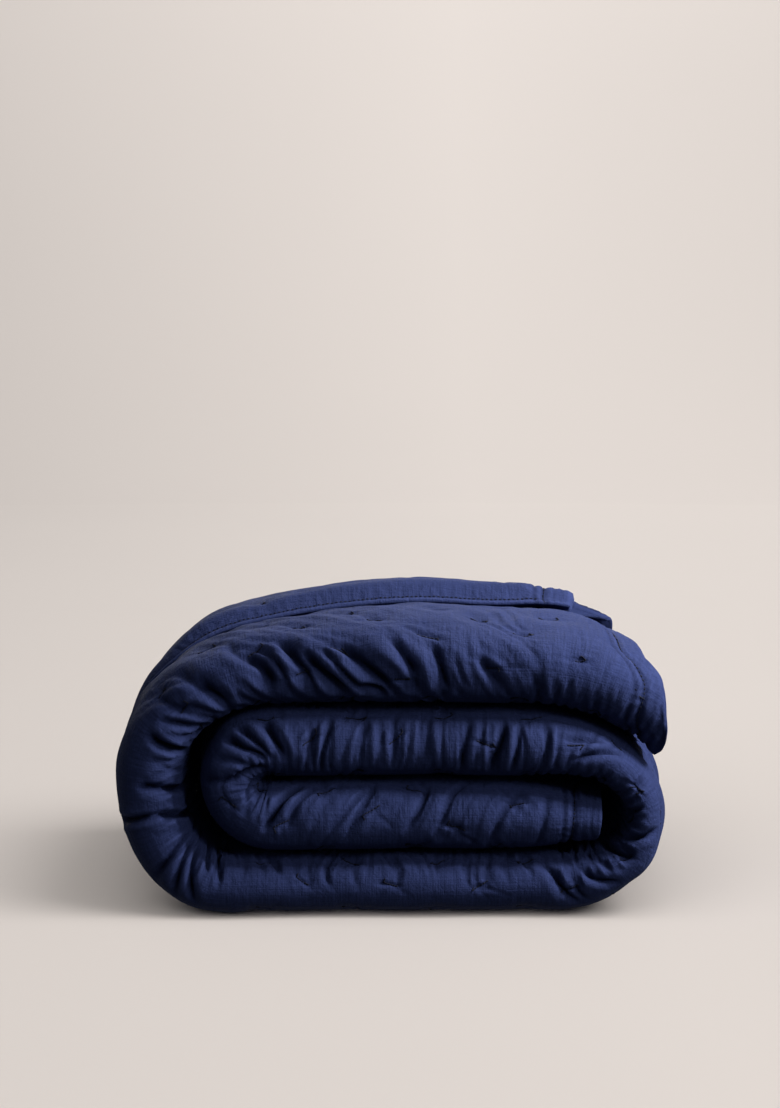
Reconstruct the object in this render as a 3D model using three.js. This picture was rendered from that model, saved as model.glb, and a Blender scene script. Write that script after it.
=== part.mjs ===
// A puffy tufted quilt, folded in thirds across its width and then rolled along its length into
// four layers. Lengths are in millimetres, +Z is up, +X runs along the roll's layers to the right
// and the long front fold looks towards -Y. One sheet, so one closed body.
import * as THREE from "three";

// The pack, and the folded section of its stack of three panels.
const DEPTH = 560;
const PANEL_THICK = 25;
const HEM_THICK = 7;
const PANEL_PITCH = 27;
const FLAP_RIDE = 6;
const STACK_THICK = 2 * PANEL_PITCH + PANEL_THICK + FLAP_RIDE;
const HEM_WIDTH = 30;
const HEM_RISE = 34;
const LAY_GAP = 2.6;
const HEM_DRAW = { end: 3, free: 9 };

// The front fold is a loose loop, the back fold a tight one around the tucked-in middle panel.
const FRONT_LOOP = { y: 62, n: -0.5, reach: 48, height: 27.5 };
const BACK_LOOP_Y = DEPTH - PANEL_PITCH - PANEL_THICK / 2;
const TUCKED_EDGE_Y = BACK_LOOP_Y - 34;
const RISE_BEHIND_FLAP = 110;

// The outer panel's free hem lies on top near the front fold, and slants back to the right.
const FLAP_EDGE = { inner: 150, left: 150, right: 258 };

// The roll's four layers: z is the height of the stack's middle, thick its height at the front.
const LAYERS = {
  lower: { z: 108, thick: 81 },
  upper: { z: 191, thick: 79 },
  base: { z: 33, thick: 67 },
  topLeft: { z: 270, thick: 74 },
  top: { z: 281, thick: 94 },
  topRight: { z: 277, thick: 88 },
};

// The turns that join the layers: where each starts and ends, how far out its middle goes, the
// stack's thickness half way round, how far its shape leans to a rounded box, and the share of
// the half turn that it makes.
const TURNS = {
  innerLeft: { fromX: -135, toX: -132, outX: -180, thick: 72, square: 2.0, share: 1 },
  right: { fromX: 158, toX: 188, outX: 283, thick: 46, square: 2.04, share: 1 },
  left: { fromX: -184, toX: -116, outX: -271, thick: 76, square: 2.08, share: 0.934 },
};
const INNER_END = { x: 232, z: 106, thick: 62 };

// The outer end bends down over the right turn.
const DROOP = { x: 152, z: 111, reach: 200, degrees: 80 };
const CROWN_X = 30;

// How far each part of the section reaches past the start of the droop.
const END_REACH = {
  tucked: 112, middleBack: 102, middleFront: 103, frontTop: 112, frontNose: 162, frontUnder: 188,
  innerBack: 156, backFold: 112, flapBack: 90, flapFront: 48,
};
const INNER_STAGGER = { outer: 6, inner: -2 };
const STAGGER_SPAN = { outerFrom: 0.72, innerTo: 0.2 };
const FLAP_LIFT = { height: 9, along: 170, across: 150 };

// The filling's crown, how it settles on the floor, and unevenness along the front fold.
const CROWN = { rise: 0.07, spread: 0.02, power: 2.2, from: 45 };
const SETTLE = { depth: 9, height: 36 };
const WAVES = [
  { length: 560, size: 4.5, phase: 0.4 },
  { length: 230, size: 2.6, phase: 2.1 },
];
const WAVE_DEPTH = 200;

// Mesh steps along the roll and across the section, and the sewn tufts' dimples.
const STEPS_ALONG = 82;
const HEM_STEPS = [0, 28, 56];
const STEPS_ACROSS = { hidden: [0, 0.12, 0.25, 0.62], climb: 4, loop: 6, inner: 6, back: 5, flap: 7 };
const WALK_STEPS = { straight: 40, turn: 60 };
const TUFT = { every: 4, depth: 5.5 };

const mix = (a, b, t) => a + (b - a) * t;
const clamp01 = (t) => Math.min(1, Math.max(0, t));
const smooth = (t) => clamp01(t) ** 2 * (3 - 2 * clamp01(t));

// A fine walk along the roll: middle of the stack and its thickness at every point.
function rollPoints() {
  const points = [];
  const straight = (fromX, toX, from, to, ease) => {
    const count = WALK_STEPS.straight;
    for (let i = 0; i < count; i += 1) {
      const t = i / count;
      const blend = smooth(t * ease);
      points.push({
        x: mix(fromX, toX, t),
        z: mix(from.z, to.z, blend),
        thick: mix(from.thick, to.thick, blend),
      });
    }
  };
  const turn = (shape, from, to) => {
    const count = WALK_STEPS.turn;
    const power = 2 / shape.square;
    const half = Math.PI / 2;
    for (let i = 0; i < count; i += 1) {
      const t = (shape.share * i) / count;
      const angle = Math.PI * t;
      const out = Math.abs(Math.sin(angle)) ** power;
      const up = Math.sign(Math.cos(angle)) * Math.abs(Math.cos(angle)) ** power;
      const plain = mix(from.thick, to.thick, smooth(t));
      const bend = Math.sin(angle);
      points.push({
        x: mix(angle < half ? shape.fromX : shape.toX, shape.outX, out),
        z: mix(to.z, from.z, (up + 1) / 2),
        thick: mix(plain, shape.thick, bend),
      });
    }
  };
  const rise = (toX, to) => {
    const from = points.at(-1);
    const count = WALK_STEPS.straight;
    for (let i = 1; i < count; i += 1) {
      const left = 1 - i / count;
      points.push({
        x: mix(toX, from.x, left),
        z: mix(to.z, from.z, left ** 2),
        thick: mix(to.thick, from.thick, left ** 1.5),
      });
    }
  };
  const { lower, upper, base, topLeft, top, topRight } = LAYERS;
  straight(INNER_END.x, TURNS.innerLeft.fromX, INNER_END, lower, 3);
  turn(TURNS.innerLeft, lower, upper);
  straight(TURNS.innerLeft.toX, TURNS.right.fromX, upper, upper, 1);
  turn(TURNS.right, upper, base);
  straight(TURNS.right.toX, TURNS.left.fromX, base, base, 1);
  const leftTurn = points.length;
  turn(TURNS.left, base, topLeft);
  rise(CROWN_X, top);
  straight(CROWN_X, DROOP.x, top, topRight, 1);
  const droop = points.length;
  const count = WALK_STEPS.straight;
  for (let i = 0; i <= count; i += 1) {
    const angle = THREE.MathUtils.degToRad(DROOP.degrees) * (i / count);
    points.push({
      x: DROOP.x + DROOP.reach * Math.sin(angle),
      z: mix(DROOP.z, topRight.z, Math.cos(angle)),
      thick: topRight.thick,
    });
  }
  return { points, leftTurn, droop };
}

// The walk with its running length, read at any distance from the inner end.
class Roll {
  constructor() {
    const { points, leftTurn, droop } = rollPoints();
    this.points = points;
    this.along = [0];
    for (let i = 1; i < this.points.length; i += 1) {
      const a = this.points[i - 1];
      const b = this.points[i];
      this.along.push(this.along[i - 1] + Math.hypot(b.x - a.x, b.z - a.z));
    }
    this.droopStart = this.along[droop];
    this.leftTurn = this.along[leftTurn];
  }

  at(distance) {
    let high = this.along.findIndex((value) => value >= distance);
    high = high < 1 ? (high === 0 ? 1 : this.along.length - 1) : high;
    const a = this.points[high - 1];
    const b = this.points[high];
    const t = (distance - this.along[high - 1]) / (this.along[high] - this.along[high - 1]);
    return { x: mix(a.x, b.x, t), z: mix(a.z, b.z, t), thick: mix(a.thick, b.thick, clamp01(t)) };
  }

  // Position, outward direction and thickness, the direction taken over a short chord.
  frame(distance) {
    const chord = 7;
    const here = this.at(distance);
    const before = this.at(distance - chord);
    const after = this.at(distance + chord);
    const length = Math.hypot(after.x - before.x, after.z - before.z);
    return {
      ...here,
      outX: -(after.z - before.z) / length,
      outZ: (after.x - before.x) / length,
    };
  }
}

// Distance of the flap's free hem behind the front fold.
function flapEdge(roll, along) {
  const toLeft = smooth(along / roll.leftTurn);
  const toRight = smooth((along - roll.leftTurn) / (roll.droopStart - roll.leftTurn));
  return mix(mix(FLAP_EDGE.inner, FLAP_EDGE.left, toLeft), FLAP_EDGE.right, toRight);
}

// Height of the middle panel's centre line as it climbs into the front loop.
function middleClimb(y, edge) {
  const start = edge + RISE_BEHIND_FLAP;
  const top = FRONT_LOOP.n + FRONT_LOOP.height;
  return top * smooth((start - y) / (start - FRONT_LOOP.y));
}

// How much of its full thickness the sheet has at a distance from a hem.
function fullness(fromHem) {
  return smooth((fromHem - 0.8 * HEM_WIDTH) / HEM_RISE);
}

// The flap lies on the middle panel, a little apart from it.
function flapHeight(y, edge) {
  const under = mix(HEM_THICK, PANEL_THICK, fullness(y - edge)) / 2;
  return middleClimb(y, edge) + PANEL_THICK / 2 + LAY_GAP + under;
}

// Stations across the sheet from the tucked middle hem to the flap's free hem, for one place
// along the roll: y and n of the centre line, distance to the nearest free hem, the end's reach,
// and whether the outer face carries tufts there or belongs to the flap.
function sectionStations(edge) {
  const list = [];
  const add = (y, n, reach, more = {}) => {
    list.push({ y, n, reach, hem: DEPTH, tufts: false, flap: false, ...more });
  };
  const climbStart = edge + RISE_BEHIND_FLAP;
  for (const t of STEPS_ACROSS.hidden) {
    const y = mix(TUCKED_EDGE_Y, climbStart, t);
    add(y, 0, mix(END_REACH.tucked, END_REACH.middleBack, t), { hem: TUCKED_EDGE_Y - y });
  }
  for (let i = 0; i < STEPS_ACROSS.climb; i += 1) {
    const t = i / STEPS_ACROSS.climb;
    const y = mix(climbStart, FRONT_LOOP.y, t);
    const reach = mix(END_REACH.middleFront, END_REACH.frontTop, t);
    add(y, middleClimb(y, edge), reach, { tufts: y < edge });
  }
  for (let i = 0; i < STEPS_ACROSS.loop; i += 1) {
    const t = i / STEPS_ACROSS.loop;
    const angle = Math.PI * t;
    const y = FRONT_LOOP.y - FRONT_LOOP.reach * Math.sin(angle);
    const n = FRONT_LOOP.n + FRONT_LOOP.height * Math.cos(angle);
    const upper = mix(END_REACH.frontTop, END_REACH.frontNose, clamp01(2 * t));
    const reach = mix(upper, END_REACH.frontUnder, clamp01(2 * t - 1));
    add(y, n, reach, { tufts: i < STEPS_ACROSS.loop - 1 });
  }
  for (let i = 0; i < STEPS_ACROSS.inner; i += 1) {
    const t = i / STEPS_ACROSS.inner;
    const y = mix(FRONT_LOOP.y, BACK_LOOP_Y, t);
    const n = mix(FRONT_LOOP.n - FRONT_LOOP.height, -PANEL_PITCH, smooth(3 * t));
    add(y, n, mix(END_REACH.frontUnder, END_REACH.innerBack, t));
  }
  for (let i = 0; i < STEPS_ACROSS.back; i += 1) {
    const t = i / STEPS_ACROSS.back;
    const y = BACK_LOOP_Y + PANEL_PITCH * Math.sin(Math.PI * t);
    const n = -PANEL_PITCH * Math.cos(Math.PI * t);
    add(y, n, mix(END_REACH.innerBack, END_REACH.backFold, t), { tufts: i > 0 });
  }
  const hemLine = edge + HEM_WIDTH;
  for (let i = 0; i <= STEPS_ACROSS.flap; i += 1) {
    const t = i / STEPS_ACROSS.flap;
    const y = mix(BACK_LOOP_Y, hemLine, t);
    const reach = mix(END_REACH.flapBack, END_REACH.flapFront, smooth(t));
    const tufts = i < STEPS_ACROSS.flap;
    add(y, flapHeight(y, edge), reach, { hem: y - edge, tufts, flap: true });
  }
  add(edge, flapHeight(edge, edge), END_REACH.flapFront, { hem: 0, flap: true });
  return list;
}

// Distances along the roll: close steps at both end hems, even steps between.
function stepsAlong(length) {
  const steps = [...HEM_STEPS];
  const start = HEM_STEPS.at(-1);
  const inner = STEPS_ALONG - 2 * (HEM_STEPS.length - 1);
  for (let i = 1; i < inner; i += 1) {
    steps.push(mix(start, length - start, i / inner));
  }
  for (let i = HEM_STEPS.length - 1; i >= 0; i -= 1) {
    steps.push(length - HEM_STEPS[i]);
  }
  return steps;
}

// How far the front fold wanders forwards or back at a place along the roll.
function frontWave(along) {
  let sum = 0;
  for (const wave of WAVES) {
    sum += wave.size * Math.sin((2 * Math.PI * along) / wave.length + wave.phase);
  }
  return sum;
}

// The pillow-like crown: higher and a little wider towards the middle of the depth, and settled
// flat on the floor underneath.
function crowned(x, y, z) {
  const inward = clamp01((Math.min(y, DEPTH - y) - CROWN.from) / (DEPTH / 2 - CROWN.from));
  const dome = 1 - (1 - inward) ** CROWN.power;
  const high = z * (1 + CROWN.rise * dome);
  const sunk = SETTLE.depth * dome * Math.exp(-high / SETTLE.height);
  return new THREE.Vector3(x * (1 + CROWN.spread * dome), y - DEPTH / 2, Math.max(0, high - sunk));
}

// Both faces of the sheet as rows of points, one row for each step along the roll.
function sheetFaces() {
  const roll = new Roll();
  const nominal = stepsAlong(roll.droopStart);
  const outerFace = [];
  const innerFace = [];
  nominal.forEach((step, row) => {
    const edge = flapEdge(roll, step);
    const stations = sectionStations(edge);
    const outerRow = [];
    const innerRow = [];
    stations.forEach((place, column) => {
      const share = step / roll.droopStart;
      const toEnd = smooth((share - STAGGER_SPAN.outerFrom) / (1 - STAGGER_SPAN.outerFrom));
      const toStart = smooth(1 - share / STAGGER_SPAN.innerTo);
      const side = clamp01(place.n / STACK_THICK + 0.5);
      const stagger = mix(INNER_STAGGER.inner, INNER_STAGGER.outer, side);
      const along = step + toEnd * place.reach + toStart * stagger;
      const frame = roll.frame(along);
      const scale = frame.thick / STACK_THICK;
      const endGap = Math.min(step, roll.droopStart - step);
      const full = fullness(Math.min(endGap, place.hem));
      const draw = place.hem < 2 * HEM_WIDTH ? HEM_DRAW.free : HEM_DRAW.end;
      const out = PANEL_THICK / 2 - (1 - full) * draw;
      const back = out - mix(HEM_THICK, PANEL_THICK, full);
      const next = stations[Math.min(column + 1, stations.length - 1)];
      const last = stations[Math.max(column - 1, 0)];
      const length = Math.hypot(next.y - last.y, next.n - last.n);
      const acrossY = -(next.n - last.n) / length;
      const acrossN = (next.y - last.y) / length;
      const nearEnd = smooth(1 - (roll.droopStart - step) / FLAP_LIFT.along);
      const nearEdge = place.flap ? smooth(1 - (place.y - edge) / FLAP_LIFT.across) : 0;
      const lift = FLAP_LIFT.height * nearEnd * nearEdge;
      const wave = frontWave(along) * smooth(1 - place.y / WAVE_DEPTH);
      const tufted = place.tufts && (row + 2 * (column % 2)) % TUFT.every === 0 && full > 0.9;
      const point = (offset) => {
        const n = (place.n + acrossN * offset + lift) * scale;
        const y = place.y + acrossY * offset + wave;
        return crowned(frame.x + frame.outX * n, y, frame.z + frame.outZ * n);
      };
      outerRow.push(point(-out + (tufted ? TUFT.depth : 0)));
      innerRow.push(point(-back));
    });
    outerFace.push(outerRow);
    innerFace.push(innerRow);
  });
  return { outerFace, innerFace };
}

// Closes the two faces into one body with the free hems and the two end hems.
function closedSheet({ outerFace, innerFace }) {
  const rows = outerFace.length;
  const columns = outerFace[0].length;
  const positions = [];
  const indices = [];
  for (const face of [outerFace, innerFace]) {
    for (const row of face) {
      for (const point of row) {
        positions.push(point.x, point.y, point.z);
      }
    }
  }
  const outer = (row, column) => row * columns + column;
  const inner = (row, column) => rows * columns + outer(row, column);
  const quad = (a, b, c, d) => indices.push(a, b, c, a, c, d);
  for (let r = 0; r < rows - 1; r += 1) {
    for (let c = 0; c < columns - 1; c += 1) {
      quad(outer(r, c), outer(r, c + 1), outer(r + 1, c + 1), outer(r + 1, c));
      quad(inner(r, c), inner(r + 1, c), inner(r + 1, c + 1), inner(r, c + 1));
    }
    const last = columns - 1;
    quad(outer(r, 0), outer(r + 1, 0), inner(r + 1, 0), inner(r, 0));
    quad(outer(r, last), inner(r, last), inner(r + 1, last), outer(r + 1, last));
  }
  const end = rows - 1;
  for (let c = 0; c < columns - 1; c += 1) {
    quad(outer(0, c), inner(0, c), inner(0, c + 1), outer(0, c + 1));
    quad(outer(end, c), outer(end, c + 1), inner(end, c + 1), inner(end, c));
  }
  const geometry = new THREE.BufferGeometry();
  geometry.setAttribute("position", new THREE.Float32BufferAttribute(positions, 3));
  geometry.setIndex(indices);
  return geometry;
}

// Brings the pack's box to the frame: middle of the box over the origin, lowest point at zero.
function seated(geometry) {
  geometry.computeBoundingBox();
  const box = geometry.boundingBox;
  const middle = box.getCenter(new THREE.Vector3());
  geometry.translate(-middle.x, -middle.y, -box.min.z);
  geometry.computeVertexNormals();
  return geometry;
}

const cloth = new THREE.MeshStandardMaterial({ color: 0x2b3566, roughness: 0.85, metalness: 0 });
const quilt = new THREE.Mesh(seated(closedSheet(sheetFaces())), cloth);
quilt.name = "quilt";

const part = new THREE.Group();
part.name = "folded_quilt";
part.add(quilt);

export default part;
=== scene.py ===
"""Looks of a folded navy quilt: its puffed cloth, its sewing and a plain studio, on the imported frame."""

import logging
import math
from collections.abc import Iterator
from dataclasses import dataclass, field
from enum import Enum
from typing import ClassVar

import bmesh
import bpy
import numpy as np
from mathutils import Matrix, Vector


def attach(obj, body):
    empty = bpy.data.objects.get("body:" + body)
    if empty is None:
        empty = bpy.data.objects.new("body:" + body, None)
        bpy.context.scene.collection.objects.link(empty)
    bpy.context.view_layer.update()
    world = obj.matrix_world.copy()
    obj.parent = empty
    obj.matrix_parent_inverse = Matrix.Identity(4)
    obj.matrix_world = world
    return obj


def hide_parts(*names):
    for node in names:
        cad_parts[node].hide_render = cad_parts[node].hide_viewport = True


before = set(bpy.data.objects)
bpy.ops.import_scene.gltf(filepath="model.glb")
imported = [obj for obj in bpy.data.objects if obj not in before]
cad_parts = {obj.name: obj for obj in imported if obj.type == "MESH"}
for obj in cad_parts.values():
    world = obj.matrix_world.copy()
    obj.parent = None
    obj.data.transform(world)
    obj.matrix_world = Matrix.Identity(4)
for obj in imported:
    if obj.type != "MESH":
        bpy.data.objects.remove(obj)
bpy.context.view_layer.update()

Array = np.ndarray
LOG = logging.getLogger("quilt")
MM = 0.001
FLOOR_CLEAR = 0.2
FAR_OFF = 1000.0
TINY = 1e-9


def mix(a: Array | float, b: Array | float, t: Array | float) -> Array | float:
    """Blend from a to b by t."""
    return a + (b - a) * t


def smooth(t: Array | float) -> Array | float:
    """Ease t from 0 to 1, held flat outside that span."""
    t = np.clip(t, 0.0, 1.0)
    return t * t * (3.0 - 2.0 * t)


def bell(distance: Array | float, width: Array | float) -> Array | float:
    """A soft bump of height 1 at distance 0."""
    return np.exp(-((distance / width) ** 2))


class Stretch(Enum):
    """Stretches of the folded section, from the tucked hem to the flap's free hem."""

    HIDDEN = 0
    CLIMB = 1
    LOOP = 2
    INNER = 3
    BACK = 4
    FLAP = 5
    HEM = 6


@dataclass(frozen=True)
class Layer:
    """A layer of the roll: height of its middle and its thickness at the front, in mm."""

    z: float
    thick: float


@dataclass(frozen=True)
class Turn:
    """A turn between two layers: start, end and furthest x, thickness, squareness, share of a half turn."""

    from_x: float
    to_x: float
    out_x: float
    thick: float
    square: float
    share: float = 1.0


@dataclass
class RollPath:
    """The spiral that the folded stack follows, seen from the front, in mm."""

    inner_x: float = 232.0
    lead_in: float = 20.0
    inner_ease: float = 3.0
    inner_end: Layer = Layer(106.0, 62.0)
    lower: Layer = Layer(108.0, 81.0)
    upper: Layer = Layer(191.0, 79.0)
    base: Layer = Layer(33.0, 67.0)
    top_left: Layer = Layer(270.0, 74.0)
    top: Layer = Layer(281.0, 94.0)
    top_right: Layer = Layer(277.0, 88.0)
    inner_left: Turn = Turn(-135.0, -132.0, -180.0, 72.0, 2.0)
    right: Turn = Turn(158.0, 188.0, 283.0, 46.0, 2.04)
    left: Turn = Turn(-184.0, -116.0, -271.0, 76.0, 2.08, 0.934)
    rise_power: float = 2.0
    rise_thick_power: float = 1.5
    crown_x: float = 30.0
    droop_x: float = 152.0
    droop_z: float = 111.0
    droop_reach: float = 200.0
    droop_degrees: float = 80.0
    straight_steps: int = 40
    turn_steps: int = 60
    chord: float = 7.0

    def __post_init__(self) -> None:
        """Walk the spiral once and keep its running length."""
        lead = (self.inner_x + self.lead_in, self.inner_end.z, self.inner_end.thick)
        self._rows: list[tuple[float, float, float]] = [lead]
        self._marks: dict[str, int] = {}
        turn = self.inner_left
        self._straight("inner", self.inner_x, turn.from_x, self.inner_end, self.lower, self.inner_ease)
        self._turn("inner_left", turn, self.lower, self.upper)
        self._straight("upper", turn.to_x, self.right.from_x, self.upper, self.upper)
        self._turn("right", self.right, self.upper, self.base)
        self._straight("base", self.right.to_x, self.left.from_x, self.base, self.base)
        self._turn("left", self.left, self.base, self.top_left)
        self._rise("top", self.crown_x, self.top)
        self._straight("crown", self.crown_x, self.droop_x, self.top, self.top_right)
        self._droop()
        walk = np.array(self._rows)
        steps = np.hypot(np.diff(walk[:, 0]), np.diff(walk[:, 1]))
        self.along = np.concatenate([[0.0], np.cumsum(steps)]) - steps[0]
        self.x, self.z, self.thick = walk.T
        self.at = {name: float(self.along[row]) for name, row in self._marks.items()}
        self.length = self.at["droop"]

    def _straight(
        self, name: str, from_x: float, to_x: float, start: Layer, end: Layer, ease: float = 1.0
    ) -> None:
        """Add a straight layer to the walk.

        Args:
            name: Mark for where it starts.
            from_x: Its first x.
            to_x: Its last x.
            start: Layer it leaves.
            end: Layer it reaches.
            ease: How soon it has the second layer's height.
        """
        self._marks[name] = len(self._rows)
        for step in range(self.straight_steps):
            t = step / self.straight_steps
            blend = smooth(t * ease)
            thick = mix(start.thick, end.thick, blend)
            self._rows.append((mix(from_x, to_x, t), mix(start.z, end.z, blend), thick))

    def _turn(self, name: str, shape: Turn, start: Layer, end: Layer) -> None:
        """Add a half turn to the walk.

        Args:
            name: Mark for where it starts.
            shape: The turn's sizes.
            start: Layer it leaves.
            end: Layer it reaches.
        """
        self._marks[name] = len(self._rows)
        power = 2.0 / shape.square
        for step in range(self.turn_steps):
            t = shape.share * step / self.turn_steps
            angle = math.pi * t
            out = abs(math.sin(angle)) ** power
            up = math.copysign(abs(math.cos(angle)) ** power, math.cos(angle))
            side = shape.from_x if angle < math.pi / 2 else shape.to_x
            plain = mix(start.thick, end.thick, smooth(t))
            thick = mix(plain, shape.thick, math.sin(angle))
            self._rows.append((mix(side, shape.out_x, out), mix(end.z, start.z, (up + 1.0) / 2.0), thick))

    def _rise(self, name: str, to_x: float, end: Layer) -> None:
        """Add a rise that runs on from the last turn and levels out.

        Args:
            name: Mark for where it starts.
            to_x: Its last x.
            end: Layer it reaches.
        """
        self._marks[name] = len(self._rows)
        x, z, thick = self._rows[-1]
        for step in range(1, self.straight_steps):
            left = 1.0 - step / self.straight_steps
            height = mix(end.z, z, left**self.rise_power)
            thin = mix(end.thick, thick, left**self.rise_thick_power)
            self._rows.append((mix(to_x, x, left), height, thin))

    def _droop(self) -> None:
        """Add the outer end, which bends down over the right turn."""
        self._marks["droop"] = len(self._rows)
        for step in range(self.straight_steps + 1):
            angle = math.radians(self.droop_degrees) * step / self.straight_steps
            x = self.droop_x + self.droop_reach * math.sin(angle)
            self._rows.append((x, mix(self.droop_z, self.top_right.z, math.cos(angle)), self.top_right.thick))

    def place(self, along: Array) -> tuple[Array, Array, Array, Array, Array]:
        """Read the walk at distances from the inner end.

        Args:
            along: Distances in mm.

        Returns:
            x, z, thickness, and the outward direction's x and z.
        """
        ahead = along + self.chord
        behind = along - self.chord
        run = np.interp(ahead, self.along, self.x) - np.interp(behind, self.along, self.x)
        rise = np.interp(ahead, self.along, self.z) - np.interp(behind, self.along, self.z)
        length = np.hypot(run, rise)
        x = np.interp(along, self.along, self.x)
        z = np.interp(along, self.along, self.z)
        return x, z, np.interp(along, self.along, self.thick), -rise / length, run / length


@dataclass
class FoldSection:
    """The sheet's fold in thirds across its width, as a section of one back-and-forth line, in mm."""

    depth: float = 560.0
    panel_thick: float = 25.0
    hem_thick: float = 5.0
    pitch: float = 27.0
    flap_ride: float = 6.0
    hem_width: float = 30.0
    hem_flat: float = 0.8
    hem_rise: float = 34.0
    lay_gap: float = 2.6
    loop_y: float = 62.0
    loop_n: float = -0.5
    loop_reach: float = 48.0
    loop_height: float = 27.5
    tucked_in: float = 34.0
    rise_behind_flap: float = 110.0
    climb_columns: int = 72
    loop_columns: int = 60
    inner_near: float = 0.14
    inner_near_columns: int = 11
    inner_far_columns: int = 14
    inner_drop: float = 3.0
    back_columns: int = 18
    flap_columns: int = 56
    flap_crowding: float = 1.35
    hem_columns: int = 12
    hidden_shares: tuple[float, ...] = (0.0, 0.03, 0.08, 0.14, 0.22, 0.4, 0.6, 0.8)
    reach: dict[str, float] = field(
        default_factory=lambda: {
            "tucked": 106.0,
            "middle_back": 98.0,
            "middle_front": 98.0,
            "front_top": 116.0,
            "front_nose": 186.0,
            "front_under": 192.0,
            "inner_back": 156.0,
            "back_fold": 112.0,
            "flap_back": 60.0,
            "flap_front": 48.0,
        }
    )

    @property
    def stack_thick(self) -> float:
        """Thickness of the folded stack."""
        return 2.0 * self.pitch + self.panel_thick + self.flap_ride

    @property
    def back_y(self) -> float:
        """Where the back fold's loop has its middle."""
        return self.depth - self.pitch - self.panel_thick / 2.0

    def climb(self, y: Array, edge: Array) -> Array:
        """Height of the middle panel's centre line as it climbs into the front loop.

        Args:
            y: Distances behind the front.
            edge: Distance of the flap's free hem behind the front.

        Returns:
            Heights over the stack's middle.
        """
        start = edge + self.rise_behind_flap
        return (self.loop_n + self.loop_height) * smooth((start - y) / (start - self.loop_y))

    def fullness(self, from_hem: Array) -> Array:
        """Share of its full thickness that the sheet has at a distance from a hem."""
        return smooth((from_hem - self.hem_flat * self.hem_width) / self.hem_rise)

    def flap_height(self, y: Array, edge: Array) -> Array:
        """Height of the flap's centre line where it lies on the middle panel."""
        under = mix(self.hem_thick, self.panel_thick, self.fullness(y - edge)) / 2.0
        return self.climb(y, edge) + self.panel_thick / 2.0 + self.lay_gap + under

    def stations(self, edge: Array) -> dict[str, Array]:
        """Work out the section's columns for many places along the roll at once.

        Args:
            edge: Distance of the flap's free hem behind the front, one for each row.

        Returns:
            y, n, reach and hem with one row for each edge, and kind, the stretch of each column.
        """
        edge = edge[:, None]
        far = np.full_like(edge, self.depth)
        climb_start = edge + self.rise_behind_flap
        tucked_y = self.back_y - self.tucked_in
        reach = self.reach
        parts: list[tuple[Stretch, Array, Array, Array, Array]] = []

        t = np.array(self.hidden_shares)[None, :]
        y = mix(tucked_y, climb_start, t)
        end = mix(reach["tucked"], reach["middle_back"], t)
        parts.append((Stretch.HIDDEN, y, 0.0 * y, end, tucked_y - y))

        t = np.linspace(0.0, 1.0, self.climb_columns, endpoint=False)[None, :]
        y = mix(climb_start, self.loop_y, t)
        end = mix(reach["middle_front"], reach["front_top"], t)
        parts.append((Stretch.CLIMB, y, self.climb(y, edge), end, far))

        t = np.linspace(0.0, 1.0, self.loop_columns, endpoint=False)[None, :]
        y = self.loop_y - self.loop_reach * np.sin(np.pi * t)
        n = self.loop_n + self.loop_height * np.cos(np.pi * t)
        upper = mix(reach["front_top"], reach["front_nose"], np.clip(2.0 * t, 0.0, 1.0))
        end = mix(upper, reach["front_under"], np.clip(2.0 * t - 1.0, 0.0, 1.0))
        parts.append((Stretch.LOOP, y, n, end, far))

        near = np.linspace(0.0, self.inner_near, self.inner_near_columns)
        t = np.concatenate([near, np.linspace(self.inner_near, 1.0, self.inner_far_columns)[1:-1]])[None, :]
        y = mix(self.loop_y, self.back_y, t)
        n = mix(self.loop_n - self.loop_height, -self.pitch, smooth(self.inner_drop * t))
        parts.append((Stretch.INNER, y, n, mix(reach["front_under"], reach["inner_back"], t), far))

        t = np.linspace(0.0, 1.0, self.back_columns, endpoint=False)[None, :]
        y = self.back_y + self.pitch * np.sin(np.pi * t)
        n = -self.pitch * np.cos(np.pi * t)
        parts.append((Stretch.BACK, y, n, mix(reach["inner_back"], reach["back_fold"], t), far))

        hem_line = edge + self.hem_width
        t = np.linspace(0.0, 1.0, self.flap_columns, endpoint=False)[None, :]
        t = 1.0 - (1.0 - t) ** self.flap_crowding
        y = mix(self.back_y, hem_line, t)
        end = mix(reach["flap_back"], reach["flap_front"], smooth(t))
        parts.append((Stretch.FLAP, y, self.flap_height(y, edge), end, y - edge))

        t = np.linspace(0.0, 1.0, self.hem_columns)[None, :]
        y = mix(hem_line, edge, t)
        end = np.full_like(t, reach["flap_front"])
        parts.append((Stretch.HEM, y, self.flap_height(y, edge), end, y - edge))

        rows = len(edge)
        columns = {}
        for slot, name in ((1, "y"), (2, "n"), (3, "reach"), (4, "hem")):
            wide = [np.broadcast_to(part[slot], (rows, part[1].shape[1])) for part in parts]
            columns[name] = np.concatenate(wide, axis=1)
        columns["kind"] = np.concatenate([np.full(part[1].shape[1], part[0].value) for part in parts])
        return columns


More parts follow.
